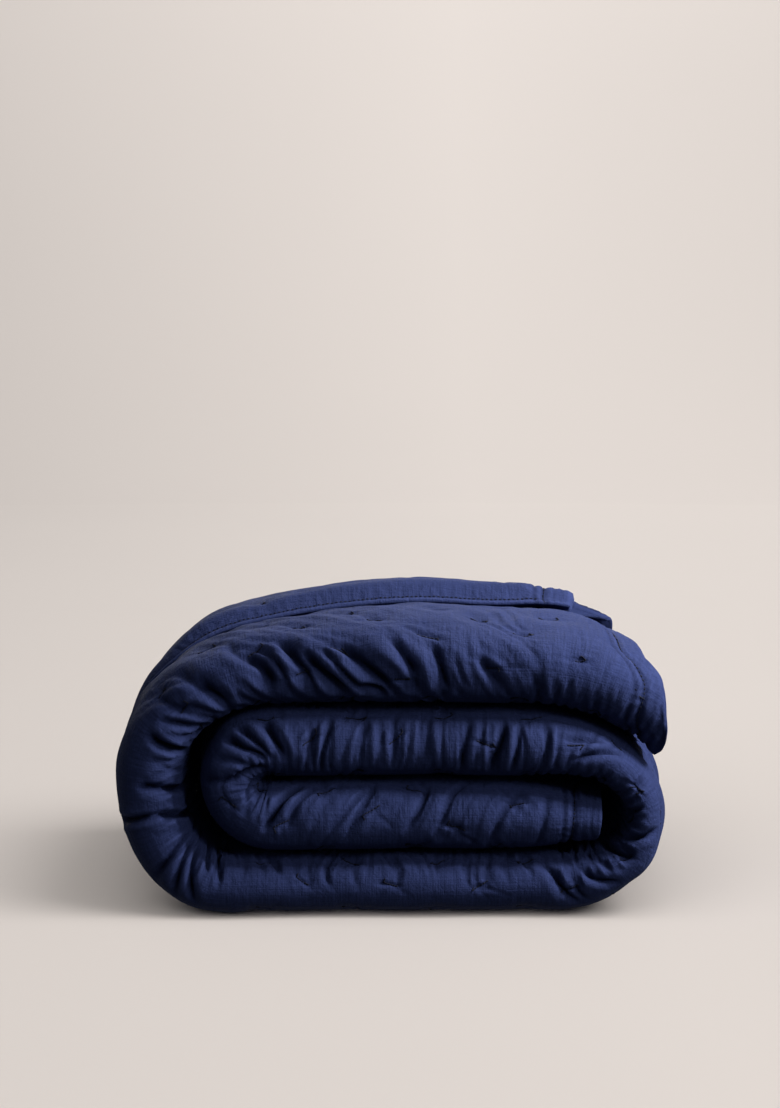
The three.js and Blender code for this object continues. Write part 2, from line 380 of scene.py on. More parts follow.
@dataclass(frozen=True)
class Crease:
    """A main crease from one place on the cloth to another: along and across the roll, in mm."""

    from_along: float
    from_across: float
    to_along: float
    to_across: float
    width: float
    depth: float
    fade_share: ClassVar[float] = 0.3
    run_out: ClassVar[float] = 8.0
    slit_share: ClassVar[float] = 0.55
    slit_width: ClassVar[float] = 0.55
    slit_least: ClassVar[float] = 1.0
    slit_power: ClassVar[float] = 1.3
    valley_share: ClassVar[float] = 0.45
    valley_width: ClassVar[float] = 2.3
    shoulder_share: ClassVar[float] = 0.15
    shoulder_aside: ClassVar[float] = 1.5
    shoulder_width: ClassVar[float] = 0.8

    def trough(self, along: Array, across: Array) -> tuple[Array, Array]:
        """Shape of the crease over the cloth: a narrow slit in a broad valley between two puffed shoulders.

        Args:
            along: Places along the roll.
            across: Places across the sheet, from the front fold's nose.

        Returns:
            Heights in mm, below 0 in the valley, and the part of them that is the slit.
        """
        run = np.array([self.to_along - self.from_along, self.to_across - self.from_across])
        length = math.hypot(*run)
        t = ((along - self.from_along) * run[0] + (across - self.from_across) * run[1]) / length
        side = np.abs((across - self.from_across) * run[0] - (along - self.from_along) * run[1]) / length
        fade = self.fade_share * length + self.run_out
        ends = smooth((t + self.run_out) / fade) * smooth((length + self.run_out - t) / fade)
        broad = np.clip(1.0 - side / (self.valley_width * self.width), 0.0, 1.0) ** 2
        narrow = np.clip(1.0 - side / (self.slit_width * self.width + self.slit_least), 0.0, 1.0)
        slit = -self.slit_share * self.depth * ends * narrow**self.slit_power
        shoulder = bell(side - self.shoulder_aside * self.width, self.shoulder_width * self.width)
        valley = self.shoulder_share * shoulder - self.valley_share * broad
        return self.depth * ends * valley + slit, slit


@dataclass(frozen=True)
class Gather:
    """A run of small creases side by side, where the cloth draws up along a fold, in mm."""

    from_along: float
    to_along: float
    spacing: float
    low: float
    high: float
    lean: float
    width: float
    depth: float
    seed: int
    tall_range: ClassVar[tuple[float, float]] = (0.5, 1.0)
    lean_range: ClassVar[tuple[float, float]] = (-0.12, 0.12)
    width_range: ClassVar[tuple[float, float]] = (0.7, 1.25)
    depth_range: ClassVar[tuple[float, float]] = (0.45, 1.15)
    low_range: ClassVar[tuple[float, float]] = (0.0, 10.0)
    gap_range: ClassVar[tuple[float, float]] = (0.6, 1.5)

    def creases(self) -> list[Crease]:
        """Set the run's creases out unevenly.

        Returns:
            The creases.
        """
        rng = np.random.default_rng(self.seed)
        made = []
        at = self.from_along
        while at < self.to_along:
            tall = (self.high - self.low) * rng.uniform(*self.tall_range)
            lean = self.lean + rng.uniform(*self.lean_range)
            width = self.width * rng.uniform(*self.width_range)
            depth = self.depth * rng.uniform(*self.depth_range)
            low = self.low + rng.uniform(*self.low_range)
            made.append(Crease(at, low, at + lean * tall, low + tall, width, depth))
            at += self.spacing * rng.uniform(*self.gap_range)
        return made


@dataclass
class ClothSolver:
    """Settles the quilt's outer face as cloth over filling: spare length buckles into soft folds."""

    rounds: int = 260
    stretch_share: float = 0.9
    shear_share: float = 0.5
    filling_share: float = 0.004
    stiff_share: float = 0.3
    slide_share: float = 0.04
    slide_limit: float = 9.0

    @staticmethod
    def _pull(a: Array, b: Array, rest: Array, share: float) -> None:
        """Move two sets of points so that each pair is nearer its rest length.

        Args:
            a: First points, changed in place.
            b: Second points, changed in place.
            rest: Rest lengths.
            share: Part of the difference that is put right.
        """
        gap = b - a
        length = np.sqrt(np.einsum("ijk,ijk->ij", gap, gap)) + TINY
        push = (0.5 * share * (length - rest) / length)[..., None] * gap
        a += push
        b -= push

    @staticmethod
    def _spread(values: Array) -> Array:
        """How far each value is from the mean of its four neighbours."""
        wide = np.pad(values, 1, mode="edge")
        return 0.25 * (wide[:-2, 1:-1] + wide[2:, 1:-1] + wide[1:-1, :-2] + wide[1:-1, 2:]) - values

    def settle(self, skin: dict[str, Array]) -> tuple[Array, Array]:
        """Run the cloth until its folds have formed.

        Args:
            skin: base, normal, height, start, rest_u, rest_v, rest_a, rest_b, cap_out, cap_in, held.

        Returns:
            The settled points, and their height over the base.
        """
        base, normal = skin["base"], skin["normal"]
        held = skin["held"]
        points = base + normal * skin["start"][..., None]
        lift = skin["start"].copy()
        for _ in range(self.rounds):
            for odd in (0, 1):
                self._pull(points[odd:-1:2], points[odd + 1 :: 2], skin["rest_u"][odd::2], self.stretch_share)
                rest_v = skin["rest_v"][:, odd::2]
                self._pull(points[:, odd:-1:2], points[:, odd + 1 :: 2], rest_v, self.stretch_share)
                rest_a, rest_b = skin["rest_a"][odd::2], skin["rest_b"][odd::2]
                self._pull(points[odd:-1:2, :-1], points[odd + 1 :: 2, 1:], rest_a, self.shear_share)
                self._pull(points[odd + 1 :: 2, :-1], points[odd:-1:2, 1:], rest_b, self.shear_share)
            offset = points - base
            lift = np.einsum("ijk,ijk->ij", offset, normal)
            slide = (offset - normal * lift[..., None]) * (1.0 - self.slide_share)
            far = np.sqrt(np.einsum("ijk,ijk->ij", slide, slide)) + TINY
            slide *= np.minimum(1.0, self.slide_limit / far)[..., None]
            lift -= self.stiff_share * self._spread(self._spread(lift))
            lift += self.filling_share * (skin["height"] - lift)
            lift = np.where(held, skin["height"], lift)
            lift = np.clip(lift, -skin["cap_in"], skin["cap_out"])
            points = base + slide + normal * lift[..., None]
            points[..., 2] = np.maximum(points[..., 2], FLOOR_CLEAR)
        return points, lift


@dataclass(frozen=True)
class HollowFill:
    """How the filling swells into the hollows of the roll, in mm and in shares of the stack's thickness."""

    swell: float = 0.22
    right_swell: float = 0.8
    left_press: float = 0.16
    from_open: float = 50.0
    open_ease: float = 120.0
    ease: float = 60.0
    inner_left_past: float = 30.0
    right_short: float = 60.0
    crown_past: float = 40.0
    droop_past: float = 300.0
    press_rise: float = 80.0
    press_short: float = 40.0
    press_fall: float = 70.0
    press_behind: float = 170.0
    press_ease: float = 60.0

    def shares(self, marks: dict[str, float], depth: float, along: Array, y: Array) -> tuple[Array, Array]:
        """Work out the swelling, which stays away from the roll's open ends.

        Args:
            marks: Where the roll's stretches start.
            depth: Depth of the pack.
            along: Distances from the inner end.
            y: Distances behind the front.

        Returns:
            Shares by which the outer and the inner side of the stack swell.
        """
        deep = smooth((y - self.from_open) / self.open_ease)
        deep = deep * smooth((depth - self.from_open - y) / self.open_ease)

        def span(start: float, end: float) -> Array:
            """A soft window along the roll."""
            return smooth((along - start) / self.ease + 0.5) * smooth((end - along) / self.ease + 0.5)

        inner_left = span(marks["inner_left"] - self.inner_left_past, marks["upper"] + self.inner_left_past)
        left = span(marks["left"], marks["top"])
        right = span(marks["right"] + self.right_short, marks["base"] - self.right_short)
        droop = span(marks["crown"] + self.crown_past, marks["droop"] + self.droop_past)
        press = smooth((along - marks["left"]) / self.press_rise)
        press = press * smooth((marks["top"] - self.press_short - along) / self.press_fall)
        front = press * mix(-self.left_press, 0.0, smooth((self.press_behind - y) / self.press_ease))
        inner = self.swell * left + self.right_swell * right + self.swell * droop
        return self.swell * deep * inner_left + front, deep * inner


@dataclass(frozen=True)
class ClothRoom:
    """How far the cloth may rise out of the plain shape or sink into it, in mm."""

    between: float = 11.0
    pressed: float = 0.6
    press_from: float = 17.0
    press_ease: float = 14.0
    outside: float = 9.0
    top_past: float = 60.0
    top_ease: float = 120.0
    left_before: float = 40.0
    left_ease: float = 80.0
    right_turn: float = 4.0
    right_past: float = 20.0
    right_ease: float = 60.0
    back_fold: float = 8.0
    at_hem: float = 1.0
    past_hem: float = 10.0
    under_flap: float = 0.4
    sink: float = 11.0
    sink_at_hem: float = 0.15

    def caps(self, sheet: "QuiltSheet") -> tuple[Array, Array]:
        """Work out the room over and under every point.

        Args:
            sheet: The quilt as laid out.

        Returns:
            How far each point may rise, and how far it may sink.
        """
        marks = sheet.path.at
        along, level = sheet.along, sheet.height_in_stack
        outer = level > 0
        near = smooth((np.abs(level) - self.press_from) / self.press_ease)
        rise = mix(self.between, self.pressed, near)
        top = smooth((along - marks["left"] - self.top_past) / self.top_ease) * outer
        left = smooth((along - marks["left"] + self.left_before) / self.left_ease) * outer
        rise = np.maximum(rise, self.outside * np.maximum(top, left))
        right = smooth((along - marks["right"] - self.right_past) / self.right_ease)
        right = right * smooth((marks["base"] - along) / self.right_ease)
        rise = np.maximum(rise, self.right_turn * right * outer)
        back = (sheet.kind == Stretch.BACK.value)[None, :]
        rise = np.where(back, np.maximum(rise, mix(self.back_fold, self.pressed, near)), rise)
        rise = np.minimum(rise, self.at_hem + self.past_hem * sheet.full)
        rise = mix(rise, self.under_flap, sheet.under_flap)
        return rise, self.sink * (self.sink_at_hem + (1.0 - self.sink_at_hem) * sheet.full)


@dataclass(frozen=True)
class Ripple:
    """A band of small ripples beside an edge, in mm: their size, length, straying and place."""

    size: float
    length: float
    stray: float
    stray_length: float
    inside: float
    width: float
    seed: int


@dataclass
class QuiltSheet:
    """The quilt itself: one filled sheet, folded in thirds and rolled, with its tufts and folds."""

    path: RollPath = field(default_factory=RollPath)
    section: FoldSection = field(default_factory=FoldSection)
    fill: HollowFill = field(default_factory=HollowFill)
    room: ClothRoom = field(default_factory=ClothRoom)
    solver: ClothSolver = field(default_factory=ClothSolver)
    rows: int = 960
    back_row_step: int = 8
    back_column_step: int = 4
    rim_steps: int = 3
    end_rows: int = 70
    end_columns: int = 45
    read_inset: float = 1.001
    # Flap and ends
    flap_edge_left: float = 150.0
    flap_edge_right: float = 258.0
    stagger_outer: float = 6.0
    stagger_inner: float = -2.0
    stagger_outer_from: float = 0.72
    stagger_inner_to: float = 0.2
    inner_end_reach: float = 18.0
    inner_end_from: float = 60.0
    inner_end_ease: float = 80.0
    flap_lift: float = 4.0
    flap_lift_along: float = 110.0
    flap_lift_across: float = 150.0
    edge_lift: float = 7.0
    edge_lift_along: float = 34.0
    edge_lift_before: float = 122.0
    edge_lift_across: float = 50.0
    edge_press: float = 0.5
    end_thick: float = 17.0
    end_thick_on_flap: float = -5.0
    end_thick_below: float = 40.0
    end_thick_ease: float = 45.0
    under_flap_ease: float = 25.0
    draw_end: float = 3.0
    draw_free: float = 9.0
    draw_from: float = 1.4
    draw_ease: float = 0.6
    # Pillow shape of the pack
    crown_rise: float = 0.07
    crown_spread: float = 0.02
    crown_power: float = 2.2
    crown_from: float = 45.0
    centre_x: float = -1.7
    centre_y: float = -2.7
    hang_x: float = 298.0
    hang_give: float = 12.0
    hang_from: float = 60.0
    hang_ease: float = 60.0
    settle_depth: float = 9.0
    settle_height: float = 36.0
    wave_depth: float = 200.0
    front_waves: tuple[tuple[float, float, float], ...] = ((4.5, 560.0, 0.4), (2.6, 230.0, 2.1))
    # Spare length: mark, distance past it, share of spare length, slant of the folds
    spare_stops: tuple[tuple[str, float, float, float], ...] = (
        ("inner", 0.0, 0.04, 0.05),
        ("inner_left", 0.0, 0.05, 0.0),
        ("upper", 40.0, 0.07, -0.03),
        ("right", 0.0, 0.035, 0.0),
        ("base", 0.0, 0.04, 0.0),
        ("left", 0.0, 0.05, 0.0),
        ("top", 0.0, 0.06, 0.08),
        ("crown", 0.0, 0.05, 0.06),
        ("droop", 0.0, 0.03, 0.02),
    )
    least_spare: float = 1.015
    most_spare: float = 1.13
    flap_calm: float = 0.3
    bulge: float = 1.6
    bulge_along: float = 46.0
    bulge_across: float = 200.0
    bulge_slant: float = 0.6
    bulge_slant_from: float = 0.01
    bulge_seed: int = 11
    noise_waves: int = 40
    noise_along: tuple[float, float] = (0.7, 1.6)
    noise_across: tuple[float, float] = (0.7, 1.8)
    # Tufts
    tuft_along: float = 97.5
    tuft_across: float = 48.5
    tuft_first: float = 159.0
    tuft_rows: tuple[int, ...] = (*range(-2, 6), *range(-22, -10))
    tuft_count: int = 30
    tuft_lead: float = 2.0
    tuft_table: int = 600
    tuft_past: float = 200.0
    tuft_full: float = 0.9
    tuft_near: float = 6.0
    tuft_clear: float = 3.0
    tuft_lean: float = 0.6
    tuft_seed: int = 41
    tuft_dip: float = 2.2
    tack_pull: float = 0.6
    puff_rise: float = 2.5
    puff_span: float = 38.0
    turn_spare: float = 48.75
    cover_before: float = 6.0
    plain_from: float = 1470.0
    plain_to: float = 1690.0
    plain_across: float = 90.0
    seen_tufts: tuple[tuple[float, float], ...] = (
        (1976, -12), (2076, 4), (2171, 20), (1908, 28), (2005, 40), (2110, 57), (1946, 97), (2139, 123),
        (2071, 199),
        (547, 12), (643, 12), (742, 4), (838, 12), (417, 4), (255, -16), (161, 8), (93, -28),
        (1382, -12), (1285, -8), (1186, -4), (1010, -16), (1729, 0),
        (1943, -911), (1969, -902), (1991, -903), (2027, -893),
    )
    # Creases and gathers where they show
    creases: tuple[Crease, ...] = (
        Crease(1809, 49, 1831, -16, 12, 7.5),
        Crease(1822, 49, 1850, -16, 7, 3.5),
        Crease(1844, 49, 1878, -16, 12, 7.0),
        Crease(1873, 24, 1913, -28, 12, 8.0),
        Crease(1895, 28, 1938, -32, 8, 3.5),
        Crease(1916, 32, 1966, -28, 12, 7.0),
        Crease(1936, -20, 1958, -36, 10, 6.0),
        Crease(1957, 40, 1983, 0, 8, 3.0),
        Crease(1760, 28, 1776, -24, 10, 6.0),
        Crease(1739, 57, 1765, 0, 9, 2.5),
        Crease(1791, 75, 1811, 20, 9, 2.0),
        Crease(1978, 12, 1994, -28, 8, 2.5),
        Crease(2007, 28, 2029, -20, 11, 4.5),
        Crease(2036, 12, 2051, -16, 7, 2.0),
        Crease(2070, 8, 2086, -28, 8, 3.0),
        Crease(2117, 0, 2136, -49, 8, 2.5),
        Crease(1711, 45, 1730, -12, 9, 3.0),
        Crease(1703, 4, 1718, -28, 6, 2.5),
        Crease(1680, 12, 1684, -66, 6, 10.0),
        Crease(1657, -12, 1640, -80, 6, 2.0),
        Crease(1631, 8, 1624, -20, 7, 6.0),
        Crease(1624, -20, 1608, -90, 6, 12.0),
        Crease(1591, 66, 1596, -4, 6, 6.0),
        Crease(1596, -4, 1574, -95, 6, 11.0),
        Crease(1531, 45, 1555, -45, 8, 4.5),
        Crease(1514, 32, 1541, -53, 8, 4.5),
        Crease(1498, 24, 1524, -53, 8, 5.0),
        Crease(1512, -85, 1488, -24, 6, 3.5),
        Crease(1488, -90, 1468, -12, 6, 3.0),
        Crease(1421, -71, 1415, -16, 6, 2.5),
        Crease(1352, -66, 1345, -8, 6, 2.5),
        Crease(1282, -62, 1282, -4, 6, 2.0),
        Crease(1196, -53, 1193, -4, 6, 2.0),
        Crease(490, -12, 477, 8, 6, 5.5),
        Crease(477, 8, 466, 38, 6, 6.0),
        Crease(486, -27, 464, -18, 6, 4.5),
        Crease(464, -18, 448, -8, 6, 5.5),
        Crease(448, -8, 438, 14, 6, 4.5),
        Crease(438, 14, 434, 42, 6, 3.0),
        Crease(336, -54, 351, -20, 8, 7.5),
        Crease(351, -20, 371, 8, 8, 7.0),
        Crease(453, -41, 413, -18, 7, 2.5),
        Crease(503, 44, 514, -14, 8, 6.5),
        Crease(477, 46, 499, -14, 6, 5.0),
        Crease(448, 33, 472, -16, 5, 2.0),
        Crease(547, 36, 550, -20, 6, 3.0),
        Crease(567, 45, 560, -28, 6, 3.5),
        Crease(610, 45, 606, -28, 6, 2.5),
        Crease(643, 53, 639, -28, 6, 3.0),
        Crease(679, 40, 676, -20, 6, 2.5),
        Crease(722, 45, 712, -36, 6, 3.5),
        Crease(762, 40, 745, -36, 9, 6.5),
        Crease(779, 32, 769, -32, 6, 3.0),
        Crease(808, 40, 805, -28, 6, 2.5),
        Crease(828, 16, 865, 24, 6, 2.5),
        Crease(848, -12, 888, 32, 7, 4.5),
        Crease(318, -53, 341, 8, 8, 3.0),
        Crease(248, -62, 282, 20, 8, 3.5),
        Crease(262, -45, 295, 4, 7, 2.5),
        Crease(189, -53, 223, 20, 8, 3.5),
        Crease(145, -66, 180, 8, 8, 3.0),
        Crease(89, -49, 126, 36, 8, 3.0),
        Crease(59, -53, 73, 53, 7, 2.0),
        Crease(911, 0, 914, 24, 6, 3.0),
        Crease(960, -60, 941, -10, 6, 3.0),
        Crease(994, -45, 967, 24, 7, 4.5),
        Crease(1024, -99, 1007, 4, 7, 4.5),
        Crease(1067, -32, 1037, 12, 7, 4.5),
        Crease(1083, -32, 1073, 20, 7, 3.0),
        Crease(1117, -40, 1080, 24, 8, 5.0),
    )
    gathers: tuple[Gather, ...] = (
        Gather(520, 850, 10, -40, 50, 0.06, 4, 2.4, 3),
        Gather(1130, 1500, 12, -80, 0, -0.05, 4, 2.2, 5),
        Gather(1780, 2000, 30, -40, 50, -0.6, 5, 1.3, 7),
        Gather(2000, 2200, 14, -56, 60, -0.35, 5, 1.6, 9),
        Gather(60, 360, 14, -60, 44, 0.42, 5, 1.2, 13),
        Gather(880, 1120, 10, -80, -10, -0.3, 5, 1.2, 19),
        Gather(1500, 1760, 34, -80, 20, 0.1, 5, 1.2, 29),
        Gather(2150, 2330, 9, -60, 220, 0.05, 4, 1.4, 33),
    )
    crease_gain: float = 2.3
    outer_gain: float = 2.8
    gather_gain: float = 1.25
    crease_margin: float = 4.0
    warp: float = 3.0
    warp_length: float = 130.0
    warp_seeds: tuple[int, int] = (31, 37)
    pucker_length: float = 13.0
    pucker_width: float = 3.0
    pucker_depth: float = 2.4
    pucker_rays: int = 5
    pucker_seed: int = 53
    ray_width: float = 3.5
    ray_from: float = 0.3
    ray_reach: tuple[float, float] = (1.2, 2.6)
    ray_depth: tuple[float, float] = (0.15, 0.6)
    deepest_share: float = 0.55
    painted_shade_depth: float = 6.0
    # Hems
    stitch_line: float = 28.0
    stitch_groove: float = 2.8
    seam_width: float = 2.6
    second_seam: float = 11.0
    second_seam_width: float = 2.2
    second_seam_share: float = 0.8
    flap_seam_share: float = 0.3
    seam_painted_shade: float = 0.7
    under_hem_shadow_width: float = 6.0
    under_hem_shadow_strength: float = 0.95
    hem_ripple: Ripple = Ripple(0.55, 15.0, 2.0, 60.0, 34.0, 14.0, 43)
    end_pleat: Ripple = Ripple(0.7, 9.0, 2.5, 90.0, 14.0, 12.0, 47)

    def _front_wave(self, along: Array) -> Array:
        """How far the front fold wanders forwards or back: waves of a size, a length and a phase."""
        waves = self.front_waves
        return sum(size * np.sin(2.0 * np.pi * along / length + phase) for size, length, phase in waves)

    def _flap_edge(self, along: Array) -> Array:
        """Distance of the flap's free hem behind the front fold.

        Args:
            along: Distances from the inner end.

        Returns:
            One distance for each.
        """
        left = self.path.at["left"]
        to_right = smooth((along - left) / (self.path.length - left))
        return mix(self.flap_edge_left, self.flap_edge_right, to_right)

    def _crowned(self, x: Array, y: Array, z: Array) -> Array:
        """Give the pack its pillow-like crown and bring its middle over the origin.

        Args:
            x: Places along the layers.
            y: Distances behind the front.
            z: Heights.

        Returns:
            Points in mm.
        """
        half = self.section.depth / 2.0
        inset = np.minimum(y, 2.0 * half - y) - self.crown_from
        inward = np.clip(inset / (half - self.crown_from), 0.0, 1.0)
        dome = 1.0 - (1.0 - inward) ** self.crown_power
        high = z * (1.0 + self.crown_rise * dome)
        high = np.maximum(0.0, high - self.settle_depth * dome * np.exp(-high / self.settle_height))
        wide = x * (1.0 + self.crown_spread * dome)
        return np.stack([wide - self.centre_x, y - half - self.centre_y, high], axis=-1)

    def lay_out(self) -> None:
        """Lay both faces of the sheet in the folded and rolled shape, before any puckering."""
        section = self.section
        step = np.linspace(0.0, self.path.length, self.rows)
        edge = self._flap_edge(step)
        column = section.stations(edge)
        y, n, hem = column["y"], column["n"], column["hem"]
        self.kind = column["kind"]
        step, edge = step[:, None], edge[:, None]
        share = step / self.path.length
        to_end = smooth((share - self.stagger_outer_from) / (1.0 - self.stagger_outer_from))
        to_start = smooth(1.0 - share / self.stagger_inner_to)
        side = np.clip(n / section.stack_thick + 0.5, 0.0, 1.0)
        along = step + to_end * column["reach"] + to_start * mix(self.stagger_inner, self.stagger_outer, side)
        behind_front = smooth((y - self.inner_end_from) / self.inner_end_ease)
        along = along - to_start * self.inner_end_reach * behind_front
        x, z, thick, out_x, out_z = self.path.place(along)
        scale = thick / section.stack_thick
        run_y = np.gradient(y, axis=1)
        run_n = np.gradient(n, axis=1)
        run = np.hypot(run_y, run_n)
        across_y, across_n = -run_n / run, run_y / run
        on_flap = self.kind >= Stretch.FLAP.value
        near_end = smooth(1.0 - (self.path.length - step) / self.flap_lift_along)
        near_edge = smooth(1.0 - (y - edge) / self.flap_lift_across)
        at_edge = smooth(1.0 - (y - edge) / self.edge_lift_across)
        over_left = bell(along - self.path.at["top"] + self.edge_lift_before, self.edge_lift_along)
        lift = self.flap_lift * near_end * near_edge + self.edge_lift * over_left * at_edge
        lift = (lift - self.edge_press * at_edge) * on_flap[None, :]
        wave = self._front_wave(along) * smooth(1.0 - y / self.wave_depth)

        fill_out, fill_in = self.fill.shares(self.path.at, section.depth, along, y)
        hanging = smooth((along - self.path.at["droop"] - self.hang_from) / self.hang_ease)

        def face(offset: Array) -> Array:
            """Lay a face of the sheet.

            Args:
                offset: Distances from the sheet's centre line.

            Returns:
                Points in mm.
            """
            high = (n + across_n * offset + lift) * scale
            high = high * (1.0 + np.where(high > 0.0, fill_out, fill_in))
            points = self._crowned(x + out_x * high, y + across_y * offset + wave, z + out_z * high)
            past = np.maximum(points[..., 0] - self.hang_x, 0.0)
            points[..., 0] -= hanging * (past - past / (1.0 + past / self.hang_give))
            return points

        self.end_gap = self._end_distance(face(0.0 * y))
        self.full = section.fullness(np.minimum(self.end_gap, hem))
        past_hem = smooth((hem / section.hem_width - self.draw_from) / self.draw_ease)
        draw = mix(self.draw_free, self.draw_end, past_hem)
        out = section.panel_thick / 2.0 - (1.0 - self.full) * draw
        before = np.where(on_flap, self.end_thick_on_flap, self.end_thick_below)[None, :]
        behind = smooth((y - edge + before) / self.end_thick_ease) * (step > self.path.length / 2.0)
        stacked = (self.kind <= Stretch.CLIMB.value) | on_flap
        thin = mix(section.hem_thick, self.end_thick, behind * stacked[None, :])
        back = out - mix(thin, section.panel_thick, self.full)
        self.base = face(-out)
        self.back = face(-back)
        flat = np.stack([y - across_y * out, n - across_n * out], axis=-1)
        run = np.linalg.norm(np.diff(flat, axis=1), axis=-1)
        length = np.concatenate([np.zeros_like(run[:, :1]), np.cumsum(run, axis=1)], axis=1)
        nose = int(np.flatnonzero(self.kind == Stretch.LOOP.value)[0]) + section.loop_columns // 2
        self.along = along
        self.across = length[:, nose : nose + 1] - length
        self.height_in_stack = n - across_n * out
        self.hem = hem
        below = (self.kind <= Stretch.CLIMB.value)[None, :]
        self.under_flap = smooth((y - edge) / self.under_flap_ease + 1.0) * below
        # Painted shadow: a dark line on the panel just under the flap's free hem.
        self.under_hem_shadow = bell(y - edge, self.under_hem_shadow_width) * below
        normal = np.cross(np.gradient(self.base, axis=1), np.gradient(self.base, axis=0))
        self.normal = normal / np.linalg.norm(normal, axis=-1, keepdims=True)

    def _end_distance(self, middle: Array) -> Array:
        """Distance to the nearer end of the sheet, square to its edge.

        Args:
            middle: Points half way through the sheet.

        Returns:
            Distances in mm, large away from the ends.
        """
        rows, columns = middle.shape[:2]
        gap = np.full((rows, columns), FAR_OFF)
        for near, edge in ((np.s_[: self.end_rows], middle[0]), (np.s_[-self.end_rows :], middle[-1])):
            for aside in range(-self.end_columns, self.end_columns + 1):
                pick = np.clip(np.arange(columns) + aside, 0, columns - 1)
                gap[near] = np.minimum(gap[near], np.linalg.norm(middle[near] - edge[pick], axis=-1))
        return gap

    def end_row(self, column: int, distance: float, last: bool) -> float:
        """Find where a column is at a distance from an end.

        Args:
            column: Column of the grid.
            distance: Distance in mm.
            last: True for the outer end.

        Returns:
            The row, between grid rows.
        """
        gap = self.end_gap[:, column]
        steps = np.arange(self.end_rows)
        if last:
            return self.rows - 1 - float(np.interp(distance, gap[: -self.end_rows - 1 : -1], steps))
        return float(np.interp(distance, gap[: self.end_rows], steps))

    def place_tufts(self) -> None:
        """Set out the sewn tufts in staggered rows over the faces that show."""
        right, base = self.path.at["right"], self.path.at["base"]
        table = np.linspace(0.0, self.path.length + self.tuft_past, self.tuft_table)
        cloth = table + self.turn_spare * smooth((table - right) / (base - right))
        spots = []
        for row in self.tuft_rows:
            first = self.tuft_first - self.tuft_lead * self.tuft_along + (row % 2) * self.tuft_along / 2.0
            for count in range(self.tuft_count):
                at = np.interp(first + count * self.tuft_along, cloth, table)
                spots.append((at, row * self.tuft_across))
        self.tufts = []
        distance = np.full(self.along.shape, FAR_OFF)
        for along, across in [spot for spot in spots if self._is_free(spot)] + list(self.seen_tufts):
            gap = np.hypot(self.along - along, self.across - across)
            place = np.unravel_index(np.argmin(gap), gap.shape)
            shown = self.full[place] > self.tuft_full and gap[place] < self.tuft_near
            shown = shown and 0 < place[0] < self.rows - 1
            if shown and self.base[place][2] > self.tuft_clear and not self._is_covered(place):
                self.tufts.append(place)
                distance = np.minimum(distance, gap)
        self.tuft_distance = distance
        rng = np.random.default_rng(self.tuft_seed)
        self.tuft_turns = rng.uniform(-self.tuft_lean, self.tuft_lean, len(self.tufts))

    def _is_free(self, spot: tuple[float, float]) -> bool:
        """Tell whether a tuft of the even rows has its place to itself.

        Args:
            spot: Its place along and across the sheet.

        Returns:
            False beside a listed tuft, or on the plain stretch.
        """
        gaps = np.hypot(*(np.array(self.seen_tufts) - np.array(spot)).T)
        plain = self.plain_from < spot[0] < self.plain_to and abs(spot[1]) < self.plain_across
        return bool(gaps.min() > self.tuft_across and not plain)

    def _is_covered(self, place: tuple[int, int]) -> bool:
        """Tell whether the flap lies over the middle panel at a place.

        Args:
            place: Row and column of the grid.

        Returns:
            True under the flap.
        """
        kind = self.kind[place[1]]
        behind = self.base[place][1] - self.base[:, -1, 1][place[0]]
        return bool(kind <= Stretch.CLIMB.value and behind > -self.cover_before)

    def _excess(self) -> tuple[Array, Array]:
        """Spare length along the roll, and slant of its folds, for every point.

        Returns:
            The share of spare length, and the share by which one diagonal is longer than the other.
        """
        names, past, spare, slant = zip(*self.spare_stops)
        knots = [self.path.at[name] + more for name, more in zip(names, past)]
        loose = (self.kind == Stretch.LOOP.value) | (self.kind == Stretch.CLIMB.value)
        calm = np.where(loose, 1.0, self.flap_calm)[None, :]
        return np.interp(self.along, knots, spare) * calm, np.interp(self.along, knots, slant) * calm

    def _noise(self, seed: int, length_u: float, length_v: float, slant: Array) -> Array:
        """Seeded smooth noise over the sheet, longer one way than the other.

        Args:
            seed: Seed for the waves.
            length_u: Typical wavelength along the roll in mm.
            length_v: Typical wavelength across it in mm.
            slant: How far its crests lean along the roll for each mm across.

        Returns:
            Values of about unit size.
        """
        rng = np.random.default_rng(seed)
        total = np.zeros(self.along.shape)
        for _ in range(self.noise_waves):
            wave_u = 2.0 * np.pi / (length_u * rng.uniform(*self.noise_along))
            wave_v = 2.0 * np.pi / (length_v * rng.uniform(*self.noise_across)) * rng.choice((-1.0, 1.0))
            phase = rng.uniform(0.0, 2.0 * np.pi)
            total += np.sin(wave_u * (self.along - slant * self.across) + wave_v * self.across + phase)
        return total / math.sqrt(self.noise_waves / 2.0)

    def pucker(self) -> None:
        """Let the laid-out face settle as cloth over its filling."""
        spare, slant = self._excess()
        dip = mix(-self.tuft_dip, self.puff_rise, smooth(self.tuft_distance / self.puff_span)) * self.full
        cap_out, cap_in = self.room.caps(self)
        crests = np.sign(slant) * self.bulge_slant * (np.abs(slant) > self.bulge_slant_from)
        bulges = self._noise(self.bulge_seed, self.bulge_along, self.bulge_across, crests)
        start = np.clip(dip + self.bulge * bulges * self.full, -cap_in, cap_out)

        def lengths(a: Array, b: Array) -> Array:
            """Distances between two sets of points."""
            return np.linalg.norm(b - a, axis=-1)

